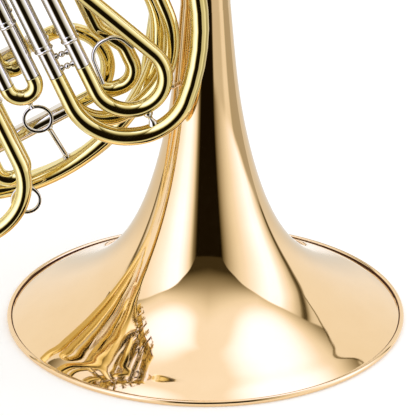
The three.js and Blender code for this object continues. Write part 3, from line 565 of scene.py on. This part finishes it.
def make_wrap():
    branch = taper((0, BRANCH_START), (0.4, WRAP_TUBE), (1, WRAP_TUBE))
    piece("wrap_branch", tube(branch_line(), branch), brass, "horn", "first_branch")
    piece("wrap_feed", tube(feed_line(), WRAP_TUBE), brass, "horn", "feed_tube")
    line, top, down = pipe_line()
    piece("leadpipe", tube(line, taper((0, PIPE_MOUTH), (1, PIPE_END))), brass, "horn",
          "mouthpipe")
    hold = PIPE_MOUTH + SEAT_GAP
    length = 42
    profile = [(hold, 0), (5.2, 0), (5.6, 0.6), *bead(4, 5.6, 0.7, 2), (5.6, length - 9),
               (5.75, length - 6), (6.3, length - 3.6), (7, length - 2.6), (7, length - 0.4),
               (6.6, length), (4.7, length), (4.3, length - 0.4), (3.6, 14.3), (hold, 14.3),
               (hold, 0)]
    shape = laid(turned(profile), top + down * 14, top)
    piece("receiver", shape, nickel, "horn", "mouthpiece_receiver")


# Slides
# Heights are along the row, below the valves
F2_CENTRE = VALVE_PITCH
F3_CENTRE = 2 * VALVE_PITCH
BF1_CENTRE = -0.8
BF2_CENTRE = VALVE_PITCH - 2
BF3_CENTRE = 2 * VALVE_PITCH - 3.25
SLEEVE_TOP = -16
SLEEVES = (("f1", 0, -58, FRONT), ("f2", F2_CENTRE, -65, FRONT), ("f3", F3_CENTRE, -96, FRONT),
           ("bflat1", BF1_CENTRE, -130, MIDDLE), ("bflat2", BF2_CENTRE, -62, MIDDLE),
           ("bflat3", BF3_CENTRE, -95, MIDDLE))
LEG_TOP = -21
F2_DROP = 126.65
BF1_DROP = 194.5
BF2_DROP = 108
F2_LEG_END, F3_LEG_END = -112, -119
LOOP_REACH = 100
LOOP_DROP = 162.7


def sleeve(x, y, end):
    """One outer slide tube, down row -z, with a beaded lip and a second ring above it."""
    inner, outer = LEG + SLIDE_GAP, SLEEVE
    length = SLEEVE_TOP - end
    profile = [(inner, 0), (outer - 0.2, 0), (outer, 0.2), *bead(0.2, outer, 0.9, 2.4),
               *bead(5.2, outer, 0.35, 1.2), (outer, length), (inner, length), (inner, 0)]
    start = Vector((x, y, end))
    return laid(turned(profile, 40), start, start + Vector((0, 0, 1)))


def knobbed(x0, x1, y, z, radius=2, ball=2.9):
    """A cross brace between two tubes, with a knob at its middle and collars at its ends."""
    length = x1 - x0
    half = length / 2
    profile = [(0, 0), (radius * 1.5, 0), (radius * 1.5, length * 0.16),
               (radius * 0.8, length * 0.24), (radius * 0.75, half - ball)]
    profile += [(max(ball * math.sin(math.pi * k / 8), radius * 0.75),
                 half - ball * math.cos(math.pi * k / 8)) for k in range(9)]
    profile += [(radius * 0.75, half + ball), (radius * 0.8, length * 0.76),
                (radius * 1.5, length * 0.84), (radius * 1.5, length), (0, length)]
    return laid(turned(profile, 28), (x0, y, z), (x1, y, z))


def pair(name, centre, end, y):
    """The two outer tubes of a slide, with a knobbed brace half way."""
    half = LEG_SPACING / 2
    shape = Shape().join(*(sleeve(centre + side, y, end) for side in (-half, half)))
    reach = half - SLEEVE + 0.4
    shape.join(knobbed(centre - reach, centre + reach, y, end / 2))
    piece("outer_" + name, shape, nickel, "horn", "sleeves_" + name, at=ROW)


def row_line(corners, y):
    return route([((x, y, z), bend) for x, z, bend in corners])


def bow_line(centre, top, bottom, y):
    half = LEG_SPACING / 2
    return row_line([(centre - half, top, 0), (centre - half, bottom, half),
                     (centre + half, bottom, half), (centre + half, top, 0)], y)


def f1_line():
    half = LEG_SPACING / 2
    bend, drop = 49, 224.5
    left = half - 2 * bend
    return row_line([(half, LEG_TOP, 0), (half, -drop, bend), (left, -drop, bend),
                     (left, -140, 30), (-half, -72 - half, 25), (-half, LEG_TOP, 0)], FRONT)


def loop_corners(centre, shares):
    return [(centre + x * LOOP_REACH, z * LOOP_DROP, bend * LOOP_REACH) for x, z, bend in shares]


def loop_line(centre):
    half = LEG_SPACING / 2
    start = F3_LEG_END - SEAT_GAP
    shares = [(0.508, -1.2465, 0.476), (1.06, -0.888, 1.88), (1.365, -0.172, 0.46),
              (0.745, 0.055, 0.46), (0.238, -0.222, 0.46), (0.738, -0.9165, 0.285),
              (0.471, -1.088, 0.285)]
    return row_line([(centre - half, start, 0), (centre - half, -LOOP_DROP * 1.1, 47.6),
                     *loop_corners(centre, shares),
                     (centre + half, -LOOP_DROP, 28.5), (centre + half, start, 0)], FRONT)


def bf3_line(centre):
    half = LEG_SPACING / 2
    shares = [(0.862, -1.094, 0.76), (0.935, -0.154, 0.29), (0.3425, -0.154, 0.29),
              (0.3425, -0.627, 0.16), (0.475, -0.759, 0.14), (0.475, -0.956, 0.17)]
    return row_line([(centre - half, LEG_TOP, 0), (centre - half, -LOOP_DROP * 1.094, 32),
                     *loop_corners(centre, shares),
                     (centre + half, -LOOP_DROP * 0.956, 16), (centre + half, LEG_TOP, 0)],
                    MIDDLE)


def rounded(share):
    """Bends a circle's sine or cosine toward a square with round corners."""
    return math.copysign(abs(share) ** 0.55, share)


def finger_ring(name, x, y, apex, body, node_name):
    ring, wire, stem = 12.2, 1.35, 2.4
    centre = Vector((x, y, apex - SEAT_GAP - stem - ring))
    rings = []
    for k in range(64):
        angle = 2 * math.pi * k / 64
        out = Vector((math.cos(angle), 0, math.sin(angle)))
        rings.append([centre + out * (ring - wire + wire * rounded(math.cos(a)))
                      + Vector((0, wire * rounded(math.sin(a)), 0))
                      for a in (2 * math.pi * (j + 0.5) / 20 for j in range(20))])
    neck = turned([(0, 0), (2.4, 0), (1.6, 1.6), (1.5, 2.4), (2.2, 3.6), (2.2, stem + wire),
                   (0, stem + wire)], 24)
    top = centre + Vector((0, 0, ring - wire))
    shape = skin(rings, True).join(laid(neck, top, top + Vector((0, 0, 1))))
    piece(name, shape, nickel, body, node_name, at=ROW)


def straight_legs(centre, end):
    half = LEG_SPACING / 2
    heights = (LEG_TOP, (LEG_TOP + end) / 2, end)
    return Shape().join(*(tube([Vector((centre + side, FRONT, z)) for z in heights], LEG)
                          for side in (-half, half)))


def make_f3_slide():
    """Two nickel legs, the long loop, the wire pull in it and the turned brace below it."""
    half = LEG_SPACING / 2
    legs = straight_legs(F3_CENTRE, F3_LEG_END)
    reach = half - LEG + SEAT_GAP
    for z in (-104, -115):
        legs.join(knobbed(F3_CENTRE - reach, F3_CENTRE + reach, FRONT, z, 1.7, 2.6))
    piece("legs_f3", legs, nickel, "slide_f3", "slide_f3_legs", at=ROW)
    loop_radii = taper((0, LEG), (0.12, LOOP), (0.6, LOOP), (0.75, LEG), (1, LEG))
    piece("loop_f3", tube(loop_line(F3_CENTRE), loop_radii), brass, "slide_f3", "slide_f3_loop",
          at=ROW)
    wire, wire_seat = 1.6, 1.35
    beside = half + LEG + SEAT_GAP + wire_seat
    bends = loop_corners(F3_CENTRE, [(0.215, -0.6575, 0.15), (0.465, -0.6545, 0.12),
                                     (0.533, -0.751, 0)])
    pull = row_line([(F3_CENTRE + beside, 21.7 - LOOP_DROP, 0), *bends], FRONT)
    piece("wire_pull", rod(pull, wire), nickel, "slide_f3", "pull_wire_f3", at=ROW)
    tall = 19
    spindle = turned([(0, 0), (3.9, 0), (4.3, tall * 0.1), (3.9, tall * 0.24),
                      (2.6, tall * 0.36), (1.9, tall * 0.43), (1.8, tall * 0.5),
                      (2.1, tall * 0.56), (3.3, tall * 0.62), (3.9, tall * 0.7),
                      (3.9, tall * 0.8), (3.2, tall * 0.9), (3.4, tall), (0, tall)], 32)
    spindle.placed(moved(F3_CENTRE + 41, FRONT, -173 - tall))
    piece("turned_brace", spindle, nickel, "slide_f3", "loop_brace_f3", at=ROW)


def crook(name, line):
    """The bent inner tube of a slide."""
    piece("crook_" + name, tube(line, LEG), brass, "slide_" + name, "slide_" + name, at=ROW)


def make_slides():
    for row in SLEEVES:
        pair(*row)
    crook("f1", f1_line())
    crook("f2", bow_line(F2_CENTRE, F2_LEG_END - SEAT_GAP, -F2_DROP, FRONT))
    piece("legs_f2", straight_legs(F2_CENTRE, F2_LEG_END), nickel, "slide_f2", "slide_f2", at=ROW)
    crook("bflat1", bow_line(BF1_CENTRE, LEG_TOP, -BF1_DROP, MIDDLE))
    crook("bflat2", bow_line(BF2_CENTRE, LEG_TOP, -BF2_DROP, MIDDLE))
    crook("bflat3", bf3_line(BF3_CENTRE))
    finger_ring("ring_f2", F2_CENTRE, FRONT, -F2_DROP - LEG, "slide_f2", "finger_ring_f2")
    finger_ring("ring_bflat1", BF1_CENTRE, MIDDLE, -BF1_DROP - LEG, "slide_bflat1",
                "finger_ring_bflat1")
    make_f3_slide()


def make_main_slide():
    half = MAIN_SPACING / 2
    inner = MAIN_LEG + SLIDE_GAP
    outer = inner + WALL
    shape = Shape()
    for z, start in ((half, MAIN_HIGH_TOP), (-half, MAIN_LOW_TOP)):
        length = MAIN_MOUTH - start
        profile = [(inner, 0), (outer - 0.2, 0), (outer, 0.2), (outer, length - 3),
                   *bead(length - 3, outer, 0.9, 2.6), (outer - 0.2, length), (inner, length),
                   (inner, 0)]
        shape.join(laid(turned(profile, 40), (start, 0, z), (0, 0, z)))
    between = knobbed(-half + outer - 0.4, half - outer + 0.4, 0, 0, 2, 3)
    quarter = Matrix.Rotation(math.radians(90), 4, "Y")
    shape.join(between.placed(moved(MAIN_LEG_TOP, 0, 0) @ quarter))
    piece("outer_main", shape, nickel, "horn", "sleeves_main", at=MAIN)
    line = route([((MAIN_LEG_TOP, 0, half), 0), ((half, 0, half), half),
                  ((half, 0, -half), half), ((MAIN_LEG_TOP, 0, -half), 0)])
    radii = taper((0, MAIN_LEG), (0.3, MAIN_LEG), (0.4, MAIN_BOW), (0.6, MAIN_BOW),
                  (0.7, MAIN_LEG), (1, MAIN_LEG))
    piece("crook_main", tube(line, radii), brass, "slide_main", "slide_main", at=MAIN)


# Valves, levers and links
VALVES = ("change", "1", "2", "3")
LEVER_SHARES = (-0.6, 0.45, 1, 1.55)
PIN_SIDES = (1, 1, 1, -1)
BALL_SIDES = (-1, -1, 1, 1)
ARM_THICK = 3.2
ARM_LIFT = 6.4
TIP_DROP = SHORT_ARM * math.sin(math.radians(STROKE / 2))
TIP_DEPTH = HINGE_DEPTH - SHORT_ARM * math.cos(math.radians(STROKE / 2))


def facing(shape, x, y, z=0):
    """A piece turned about z, set to point away from the front, along +y."""
    return laid(shape, (x, y, z), (x, y + 1, z))


def make_valve(i):
    name = VALVES[i]
    x = (i - 1) * VALVE_PITCH
    r, length = CASING_RADIUS, CASING_LENGTH
    shell = turned([(3.3, 0), (r - 3, 0), (r - 2.4, 0.5), (r - 0.8, 0.5), (r, 1.2), (r, 5),
                    (r - 0.5, 5.4), (r - 0.5, length - 5.4), (r, length - 5), (r, length),
                    (r - 1.6, length), (r - 1.6, 2.5), (3.3, 2.5), (3.3, 0)], 72)
    shape = facing(shell, x, CASING_FRONT)
    if i < 3:
        for y in (FRONT, MIDDLE):
            stub = turned([(0, 0), (LEG, 0), (LEG, 3.8), (0, 3.8)], 40)
            shape.join(laid(stub, (x + r - 0.8, y, 0), (x + r + 1, y, 0)))
    piece("shell_" + name, shape, brass, "horn", "casing_" + name, at=ROW)
    inner = r - 1.9
    lid = [(0, 0), (inner, 0), (inner, 2.5), (r - 0.4, 2.5), (r, 2.9), (r, 4.2), (r - 0.5, 4.8)]
    for k in range(3):
        ring = 13.4 - 3.6 * k
        lid += [(ring + 0.5, 5.5), (ring, 5.2), (ring - 0.5, 5.5)]
    lid += [(1.2, 5.6), (0, 5.6)]
    start = CASING_FRONT + length - 2.5 + SEAT_GAP
    piece("screw_cap_" + name, facing(turned(lid, 72), x, start), nickel, "horn", "cap_" + name,
          at=ROW)
    body = r - 2
    core = turned([(0, -7), (2.4, -7), (3, -6.4), (3, 2.9), (body, 2.9), (body, 47.1), (0, 47.1)],
                  48)
    piece("valve_rotor_" + name, facing(core, x, CASING_FRONT), brass, "rotor_" + name,
          "rotor_" + name, at=ROW)
    make_stop_arm(i, x)
    make_lever(i)
    make_link(i, x)


def pin_place(i, x):
    """Where the pin of a stop arm stands at rest, across and up the row."""
    reach = STOP_RADIUS * math.cos(math.pi / 4)
    return x + PIN_SIDES[i] * reach, -reach


def make_stop_arm(i, x):
    name = VALVES[i]
    px, pz = pin_place(i, x)
    face = CASING_FRONT - 1.3
    hub = turned([(3.3, 0), (5, 0), (5.4, 0.4), (5.4, 2.6), (5, 3), (3.3, 3), (3.3, 0)], 40)
    shape = laid(hub, (x, face, 0), (x, face - 1, 0))
    pad = turned([(0, 0), (2.3, 0), (2.6, 0.3), (2.6, 2.7), (2.3, 3), (1.3, 3), (1.3, 4.2),
                  (0, 4.2)], 32)
    shape.join(laid(pad, (px, face, pz), (px, face - 1, pz)))
    piece("arm_" + name, shape, nickel, "rotor_" + name, "stop_arm_" + name, at=ROW)


def arc(x, z, radius, start, end, step=15):
    """Outline points on a circle, between two angles in degrees."""
    return [(x + radius * math.cos(math.radians(a)), z + radius * math.sin(math.radians(a)))
            for a in range(start, end + 1, step)]


def outline_plate(points, thickness):
    """A flat plate from an outline in x and z, its front face at y 0."""
    count = len(points)
    shape = Shape()
    both = [Vector((x, y, z)) for y in (0, thickness) for x, z in points]
    faces = [tuple(range(count)), tuple(range(2 * count - 1, count - 1, -1))]
    faces += [(k, k + count, (k + 1) % count + count, (k + 1) % count) for k in range(count)]
    return shape.add(both, faces)


def long_arm(x, reach, steps=10):
    """The lever's arm, that narrows to its middle and rises off the row toward its end."""
    rings = []
    for k in range(steps + 1):
        share = k / steps
        bend = ARM_LIFT * share ** 2 + ARM_THICK * 0.1 * (1 - share)
        wide = 3 - 0.9 * math.sin(math.pi * min(1, share * 1.3)) ** 2
        deep = ARM_THICK / 2 * (1 - 0.25 * share)
        rings.append([Vector((x + sx * wide, HINGE_DEPTH - bend + sy * deep,
                              HINGE_RISE + reach * share * 0.97))
                      for sx, sy in ((-1, -1), (1, -1), (1, 1), (-1, 1))])
    return skin(rings, False)


def paddle(x, reach):
    """The plate under the finger, with two round ends."""
    wide, tall = 7.5, 22.5
    low = reach + HINGE_RISE - wide
    outline = arc(x, low + tall, wide, 0, 180) + arc(x, low, wide, 180, 360)
    return outline_plate(outline, ARM_THICK * 0.75).placed(
        moved(0, HINGE_DEPTH - ARM_LIFT - 0.8, 0))


def short_arm(x):
    """The arm behind the hinge, with the bar that the link's ball hangs on."""
    tip = Vector((x, TIP_DEPTH, HINGE_RISE - TIP_DROP))
    hinge = Vector((x, HINGE_DEPTH, HINGE_RISE))
    down = tip - hinge
    across = Vector((0, -down.z, down.y)).normalized()
    half = Vector((3, 0, 0))
    rings = []
    for share, deep in ((0.12, 2.4), (0.5, 1.6), (0.93, 1.6)):
        rings.append([hinge + down * share + across * sy * deep + half * sx
                      for sx, sy in ((-1, -1), (1, -1), (1, 1), (-1, 1))])
    return skin(rings, False).join(bar(tip - half, tip + half, 2.5))


def make_lever(i):
    name = VALVES[i]
    reach = THUMB_REACH if i == 0 else LEVER_REACH
    x = LEVER_SHARES[i] * VALVE_PITCH
    half = (EAR_PITCH - EAR) / 2 - SEAT_GAP
    hub = turned([(2.7, 0), (4.1, 0), (4.5, 0.4), (4.5, 2 * half - 0.4), (4.1, 2 * half),
                  (2.7, 2 * half), (2.7, 0)], 32)
    shape = laid(hub, (x - half, HINGE_DEPTH, HINGE_RISE), (x + half, HINGE_DEPTH, HINGE_RISE))
    shape.join(long_arm(x, reach), paddle(x, reach), short_arm(x))
    piece("key_" + name, shape, nickel, "lever_" + name, "lever_" + name, at=ROW, bevel=0.35)


def make_link(i, x):
    """A rod with a ball at each end and a nut beside each ball."""
    name = VALVES[i]
    px, pz = pin_place(i, x)
    start = Vector((px, TIP_DEPTH, pz))
    end = Vector((LEVER_SHARES[i] * VALVE_PITCH + BALL_SIDES[i] * 5.8, TIP_DEPTH,
                  HINGE_RISE - TIP_DROP))
    length = (end - start).length
    ball = [(2.5 * math.sin(math.pi * k / 12), -2.5 * math.cos(math.pi * k / 12))
            for k in range(12)]
    near = [(r, z) for r, z in ball if z < 2]
    near += [(1.3, 3), (1.3, 9), (1.7, 9.6), (1.7, 12), (1.3, 12.6)]
    far = [(r, length - z) for r, z in reversed(near)]
    piece("rod_" + name, laid(turned([*near, *far], 28), start, end), nickel, "link_" + name,
          "link_" + name, at=ROW)


def make_rack():
    """The plate on the casings, with an ear on each side of each lever, and the hinge rod."""
    left, right = -VALVE_PITCH - 4, 2 * VALVE_PITCH + 4
    low, high = CASING_RADIUS + SEAT_GAP, HINGE_RISE + 5
    plate = outline_plate([(left, low), (right, low), (right, high), (left, high)], 3)
    shape = plate.placed(moved(0, -41, 0))
    ears = sorted({round(share * VALVE_PITCH + side) for share in LEVER_SHARES
                   for side in (-EAR_PITCH / 2, EAR_PITCH / 2)})
    root = HINGE_DEPTH + 12
    outline = [(root, HINGE_RISE - 5), (root, HINGE_RISE + 5),
               *arc(HINGE_DEPTH, HINGE_RISE, 5, 90, 270)]
    for x in ears:
        turn = Matrix(((0, 1, 0, x - EAR / 2), (1, 0, 0, 0), (0, 0, 1, 0), (0, 0, 0, 1)))
        shape.join(outline_plate(outline, EAR).placed(turn))
    piece("key_rack", shape, brass, "horn", "lever_rack", at=ROW, bevel=0.4)
    head = 3.6
    first = ears[0] - EAR / 2 - SEAT_GAP
    last = ears[-1] + EAR / 2 + SEAT_GAP
    length = last - first + 6
    profile = [(0, 0), (head - 0.6, 0), (head, 0.6), (head, 2.6), (head - 0.4, 3), (HINGE_ROD, 3),
               (HINGE_ROD, length - 3), (head - 0.4, length - 3), (head, length - 2.6),
               (head, length - 0.6), (head - 0.6, length), (0, length)]
    shape = laid(turned(profile, 36), (first - 3, HINGE_DEPTH, HINGE_RISE),
                 (last, HINGE_DEPTH, HINGE_RISE))
    piece("key_pivot", shape, nickel, "horn", "hinge_rod", at=ROW)


# Braces
def spindle_brace(name, start, end, near, far, node_name):
    """A rod between two tubes, with a turned foot on each."""
    start, end = Vector(start), Vector(end)
    length = (end - start).length
    a, b = near - 0.5, length - far + 0.5
    neck = min(3.4, (b - a) / 3)
    profile = [(0, a), (3.6, a), (3.4, a + neck * 0.5), (2.3, a + neck * 0.8), (2, a + neck),
               (2, b - neck), (2.3, b - neck * 0.8), (3.4, b - neck * 0.5), (3.6, b), (0, b)]
    piece(name, laid(turned(profile, 32), start, end), nickel, "horn", node_name)


def make_braces():
    cross = on_ring(164, RING_OFFSET, PIPE_LAYER)
    spindle_brace("brace_pipe", on_ring(164, RING_OFFSET, 0), cross,
                  TAIL_RADII(164 / TAIL_END_ANGLE), PIPE_END, "pipe_brace")
    along = -39.6
    around = [to_main(p) for p in feed_line()]
    foot = min(crossings(around, 0, along), key=lambda p: p.z)
    spindle_brace("brace_main", from_main(along, -MAIN_SPACING / 2), from_main(*foot.xz, foot.y),
                  MAIN_LEG + SLIDE_GAP + WALL, WRAP_TUBE, "main_brace")
    level = RING_HEIGHT - 68
    side = max(crossings(feed_line(), 2, level), key=lambda p: p.x)
    bell_side = 13.8
    spindle_brace("brace_bell", side, (-bell_side, 0, level), WRAP_TUBE, bell_side, "bell_brace")
    out, inward = -48, RING_OFFSET - 26
    hook = route([(on_ring(150, RING_OFFSET, 0), 0), (on_ring(150, RING_OFFSET, out), 12),
                  (on_ring(150, inward, out), 12), (on_ring(150, inward, -30), 0)])
    piece("little_finger_hook", rod(hook, 2.4, 28), nickel, "horn", "finger_hook")


make_bell()
make_tail()
make_wrap()
make_slides()
make_main_slide()
for index in range(len(VALVES)):
    make_valve(index)
make_rack()
make_braces()


# Camera, studio and floor
CAMERA_ELEVATION = 26
CAMERA_AIM = Vector((BELL_X + 2, 0, 97)) * MM
CAMERA_DISTANCE = 10.0
VIEW_WIDTH = 0.3286


def make_camera():
    lens = bpy.data.cameras.new("camera")
    lens.lens = lens.sensor_width * CAMERA_DISTANCE / VIEW_WIDTH
    camera = bpy.data.objects.new("camera", lens)
    tilt = math.radians(CAMERA_ELEVATION)
    back = Vector((0, -math.cos(tilt), math.sin(tilt)))
    camera.location = CAMERA_AIM + back * CAMERA_DISTANCE
    camera.rotation_euler = (-back).to_track_quat("-Z", "Y").to_euler()
    bpy.context.scene.collection.objects.link(camera)
    bpy.context.scene.camera = camera


# Brightness of the studio's walls, by the degrees to the right of the way to the camera
WALLS = (
    (-180, 0.95), (-117, 0.98), (-114.5, 0.15), (-112, 0.15), (-109, 0.95), (-85, 1.3),
    (-68, 1.9), (-54, 2.7), (-42, 2.8), (-36, 2.3), (-30, 1.6), (-25, 0.95), (-20, 0.24),
    (-16, 0.05), (-14, 0.006), (26, 0.006), (29, 0.16), (36, 0.48), (45, 0.79), (60, 1.18),
    (70, 1.65), (80, 2.2), (90, 2.7), (101, 2.6), (108, 1.6), (115, 0.95), (119.5, 0.6),
    (121.5, 0.08), (124, 0.08), (127, 0.85), (135, 1.0), (180, 0.95),
)
BRIGHTEST = 3.0
WALL_TOP = 27
CEILING = 1.25
DARKEST = 0.03
BACKDROP = 1.03
LOW_BACKDROP = 0.9
FLOOR_LEVEL = 0.8
# Powers that tint the levels for red, green and blue: warm below white, cool above it
DIM_TINT = (0.92, 1, 1.25)
HOT_TINT = (0.45, 0.55, 1)


def arithmetic(tree):
    """Three helpers that add Math and Map Range nodes to a tree and return their sockets."""
    def calc(operation, a, b=0.0):
        made = node(tree, "ShaderNodeMath", operation=operation)
        for socket, value in zip(made.inputs, (a, b)):
            if isinstance(value, (int, float)):
                socket.default_value = value
            else:
                tree.links.new(value, socket)
        return made.outputs[0]

    def step(value, start, end, low=0.0, high=1.0):
        made = node(tree, "ShaderNodeMapRange", interpolation_type="SMOOTHSTEP")
        for key, number in (("From Min", start), ("From Max", end), ("To Min", low),
                            ("To Max", high), ("Value", value)):
            if isinstance(number, (int, float)):
                made.inputs[key].default_value = number
            else:
                tree.links.new(number, made.inputs[key])
        return made.outputs["Result"]

    def blend(share, a, b):
        return calc("ADD", calc("MULTIPLY", share, b),
                    calc("MULTIPLY", calc("SUBTRACT", 1, share), a))

    return calc, step, blend


def wall_level(tree, aside, rise):
    """The walls, with a pale table below them on the right."""
    calc, step, blend = arithmetic(tree)
    walls = node(tree, "ShaderNodeValToRGB")
    stops = walls.color_ramp.elements
    while len(stops) < len(WALLS):
        stops.new(0.5)
    for stop, (angle, level) in zip(stops, WALLS):
        stop.position = (angle + 180) / 360
        stop.color = [level / BRIGHTEST] * 3 + [1]
    tree.links.new(calc("DIVIDE", calc("ADD", aside, 180), 360), walls.inputs[0])
    wall = calc("MULTIPLY", walls.outputs["Color"], BRIGHTEST)
    table_top = calc("SUBTRACT", calc("MULTIPLY", aside, 0.07), 14)
    table = calc("MULTIPLY", step(aside, 28, 32), step(aside, 126, 125))
    table = calc("MULTIPLY", table, step(rise, table_top, calc("SUBTRACT", table_top, 4)))
    table_level = blend(step(aside, 60, 72), 0.8, 1.15)
    table_level = blend(step(aside, 82, 90), table_level, 0.55)
    return blend(table, wall, table_level)


def ceiling_level(tree, aside, rise):
    """The ceiling, with a brighter patch on each side and dusk above the camera."""
    calc, step, _ = arithmetic(tree)

    def patch(angle, height, wide, tall):
        off = calc("ADD", calc("POWER", calc("DIVIDE", calc("SUBTRACT", aside, angle), wide), 2),
                   calc("POWER", calc("DIVIDE", calc("SUBTRACT", rise, height), tall), 2))
        return step(off, 1.6, 0)

    off_middle = calc("MINIMUM", calc("ABSOLUTE", calc("SUBTRACT", aside, 5)), 70)
    dusk = step(rise, calc("ADD", 28, calc("MULTIPLY", off_middle, 0.14)),
                calc("SUBTRACT", 82, calc("MULTIPLY", off_middle, 0.4)))
    ceiling = calc("ADD", CEILING, calc("MULTIPLY", patch(106, 67, 47, 15), 1.6))
    ceiling = calc("ADD", ceiling, calc("MULTIPLY", patch(-70, 71, 48, 14), 1.5))
    return calc("MULTIPLY", ceiling, calc("MAXIMUM", dusk, DARKEST))


def studio_level(tree, aside, rise):
    """The brightness that metal sees, by degrees aside from the camera and above the floor."""
    calc, step, blend = arithmetic(tree)

    def top(angle, fall):
        away = calc("POWER", calc("ABSOLUTE", calc("SUBTRACT", aside, angle)), 2.5)
        return calc("SUBTRACT", 46, calc("MULTIPLY", away, fall))

    edge = calc("MAXIMUM", calc("MAXIMUM", top(-70, 8.5e-4), top(93, 5e-4)), WALL_TOP)
    level = blend(step(rise, edge, calc("ADD", edge, 1.2)), wall_level(tree, aside, rise),
                  ceiling_level(tree, aside, rise))
    # The backdrop behind the horn ends in an arch, with a thin brown line along it on the right
    far = calc("SUBTRACT", calc("ABSOLUTE", aside), 150)
    arch = calc("SUBTRACT", 52, calc("MULTIPLY", calc("POWER", far, 2), 0.035))
    behind = calc("MAXIMUM", step(aside, 125, 127), step(aside, -114, -116))
    backdrop = calc("MULTIPLY", step(rise, arch, calc("SUBTRACT", arch, 0.5)), behind)
    level = blend(backdrop, level, step(rise, 4, -14, BACKDROP, LOW_BACKDROP))
    line = step(calc("ABSOLUTE", calc("SUBTRACT", rise, arch)), 1.3, 0.4)
    line = calc("MULTIPLY", line, step(aside, 124, 126))
    level = calc("MULTIPLY", level, calc("SUBTRACT", 1, calc("MULTIPLY", line, 0.7)))
    level = calc("MULTIPLY", level, step(rise, 10, -12, 1.0, 0.86))
    return blend(step(rise, -38, -52), level, FLOOR_LEVEL)


def make_world():
    """Plain white for the camera and for soft light. Metal sees the studio instead."""
    world = bpy.data.worlds.new("studio")
    bpy.context.scene.world = world
    world.use_nodes = True
    tree = world.node_tree
    tree.nodes.clear()
    calc = arithmetic(tree)[0]
    split = node(tree, "ShaderNodeSeparateXYZ")
    tree.links.new(node(tree, "ShaderNodeTexCoord").outputs["Generated"], split.inputs[0])
    x, y, z = split.outputs
    aside = calc("DEGREES", calc("ARCTAN2", x, calc("MULTIPLY", y, -1)))
    rise = calc("DEGREES", calc("ARCSINE", z))
    level = studio_level(tree, aside, rise)
    dim = calc("MAXIMUM", calc("MINIMUM", level, 1), 0)
    hot = calc("MAXIMUM", level, 1)
    tint = node(tree, "ShaderNodeCombineXYZ")
    for socket, dim_power, hot_power in zip(tint.inputs, DIM_TINT, HOT_TINT):
        tinted = calc("MULTIPLY", calc("POWER", dim, dim_power), calc("POWER", hot, hot_power))
        tree.links.new(tinted, socket)
    plain = node(tree, "ShaderNodeBackground")
    plain.inputs["Color"].default_value = (1, 1, 1, 1)
    shiny = node(tree, "ShaderNodeBackground")
    tree.links.new(tint.outputs[0], shiny.inputs["Color"])
    mix = node(tree, "ShaderNodeMixShader")
    tree.links.new(node(tree, "ShaderNodeLightPath").outputs["Is Glossy Ray"], mix.inputs[0])
    tree.links.new(plain.outputs[0], mix.inputs[1])
    tree.links.new(shiny.outputs[0], mix.inputs[2])
    out = node(tree, "ShaderNodeOutputWorld")
    tree.links.new(mix.outputs[0], out.inputs["Surface"])


def make_floor():
    """Pale, with the object's shadow. Metal sees the studio past a ring round the bell."""
    size = 4.0
    ring_start, ring_end = 0.17, 0.2
    mesh = bpy.data.meshes.new("floor")
    mesh.from_pydata([(-size, -size, 0), (size, -size, 0), (size, size, 0), (-size, size, 0)], [],
                     [(0, 1, 2, 3)])
    floor = bpy.data.objects.new("floor", mesh)
    bpy.context.scene.collection.objects.link(floor)
    made = bpy.data.materials.new("floor")
    made.use_nodes = True
    tree = made.node_tree
    calc, step, _ = arithmetic(tree)
    shader = tree.nodes["Principled BSDF"]
    for key, value in (("Base Color", (0.93, 0.93, 0.93, 1)), ("Roughness", 0.9),
                       ("Specular IOR Level", 0), ("Emission Color", (1, 1, 1, 1)),
                       ("Emission Strength", 0.2)):
        shader.inputs[key].default_value = value
    away = node(tree, "ShaderNodeVectorMath", operation="DISTANCE")
    away.inputs[1].default_value = (BELL_X * MM, 0, 0)
    tree.links.new(node(tree, "ShaderNodeNewGeometry").outputs["Position"], away.inputs[0])
    glossy = node(tree, "ShaderNodeLightPath").outputs["Is Glossy Ray"]
    clear = calc("MULTIPLY", step(away.outputs["Value"], ring_start, ring_end), glossy)
    mix = node(tree, "ShaderNodeMixShader")
    tree.links.new(clear, mix.inputs[0])
    tree.links.new(shader.outputs[0], mix.inputs[1])
    tree.links.new(node(tree, "ShaderNodeBsdfTransparent").outputs[0], mix.inputs[2])
    tree.links.new(mix.outputs[0], tree.nodes["Material Output"].inputs["Surface"])
    mesh.materials.append(made)


make_camera()
make_world()
make_floor()
bpy.context.scene.view_settings.view_transform = "Standard"
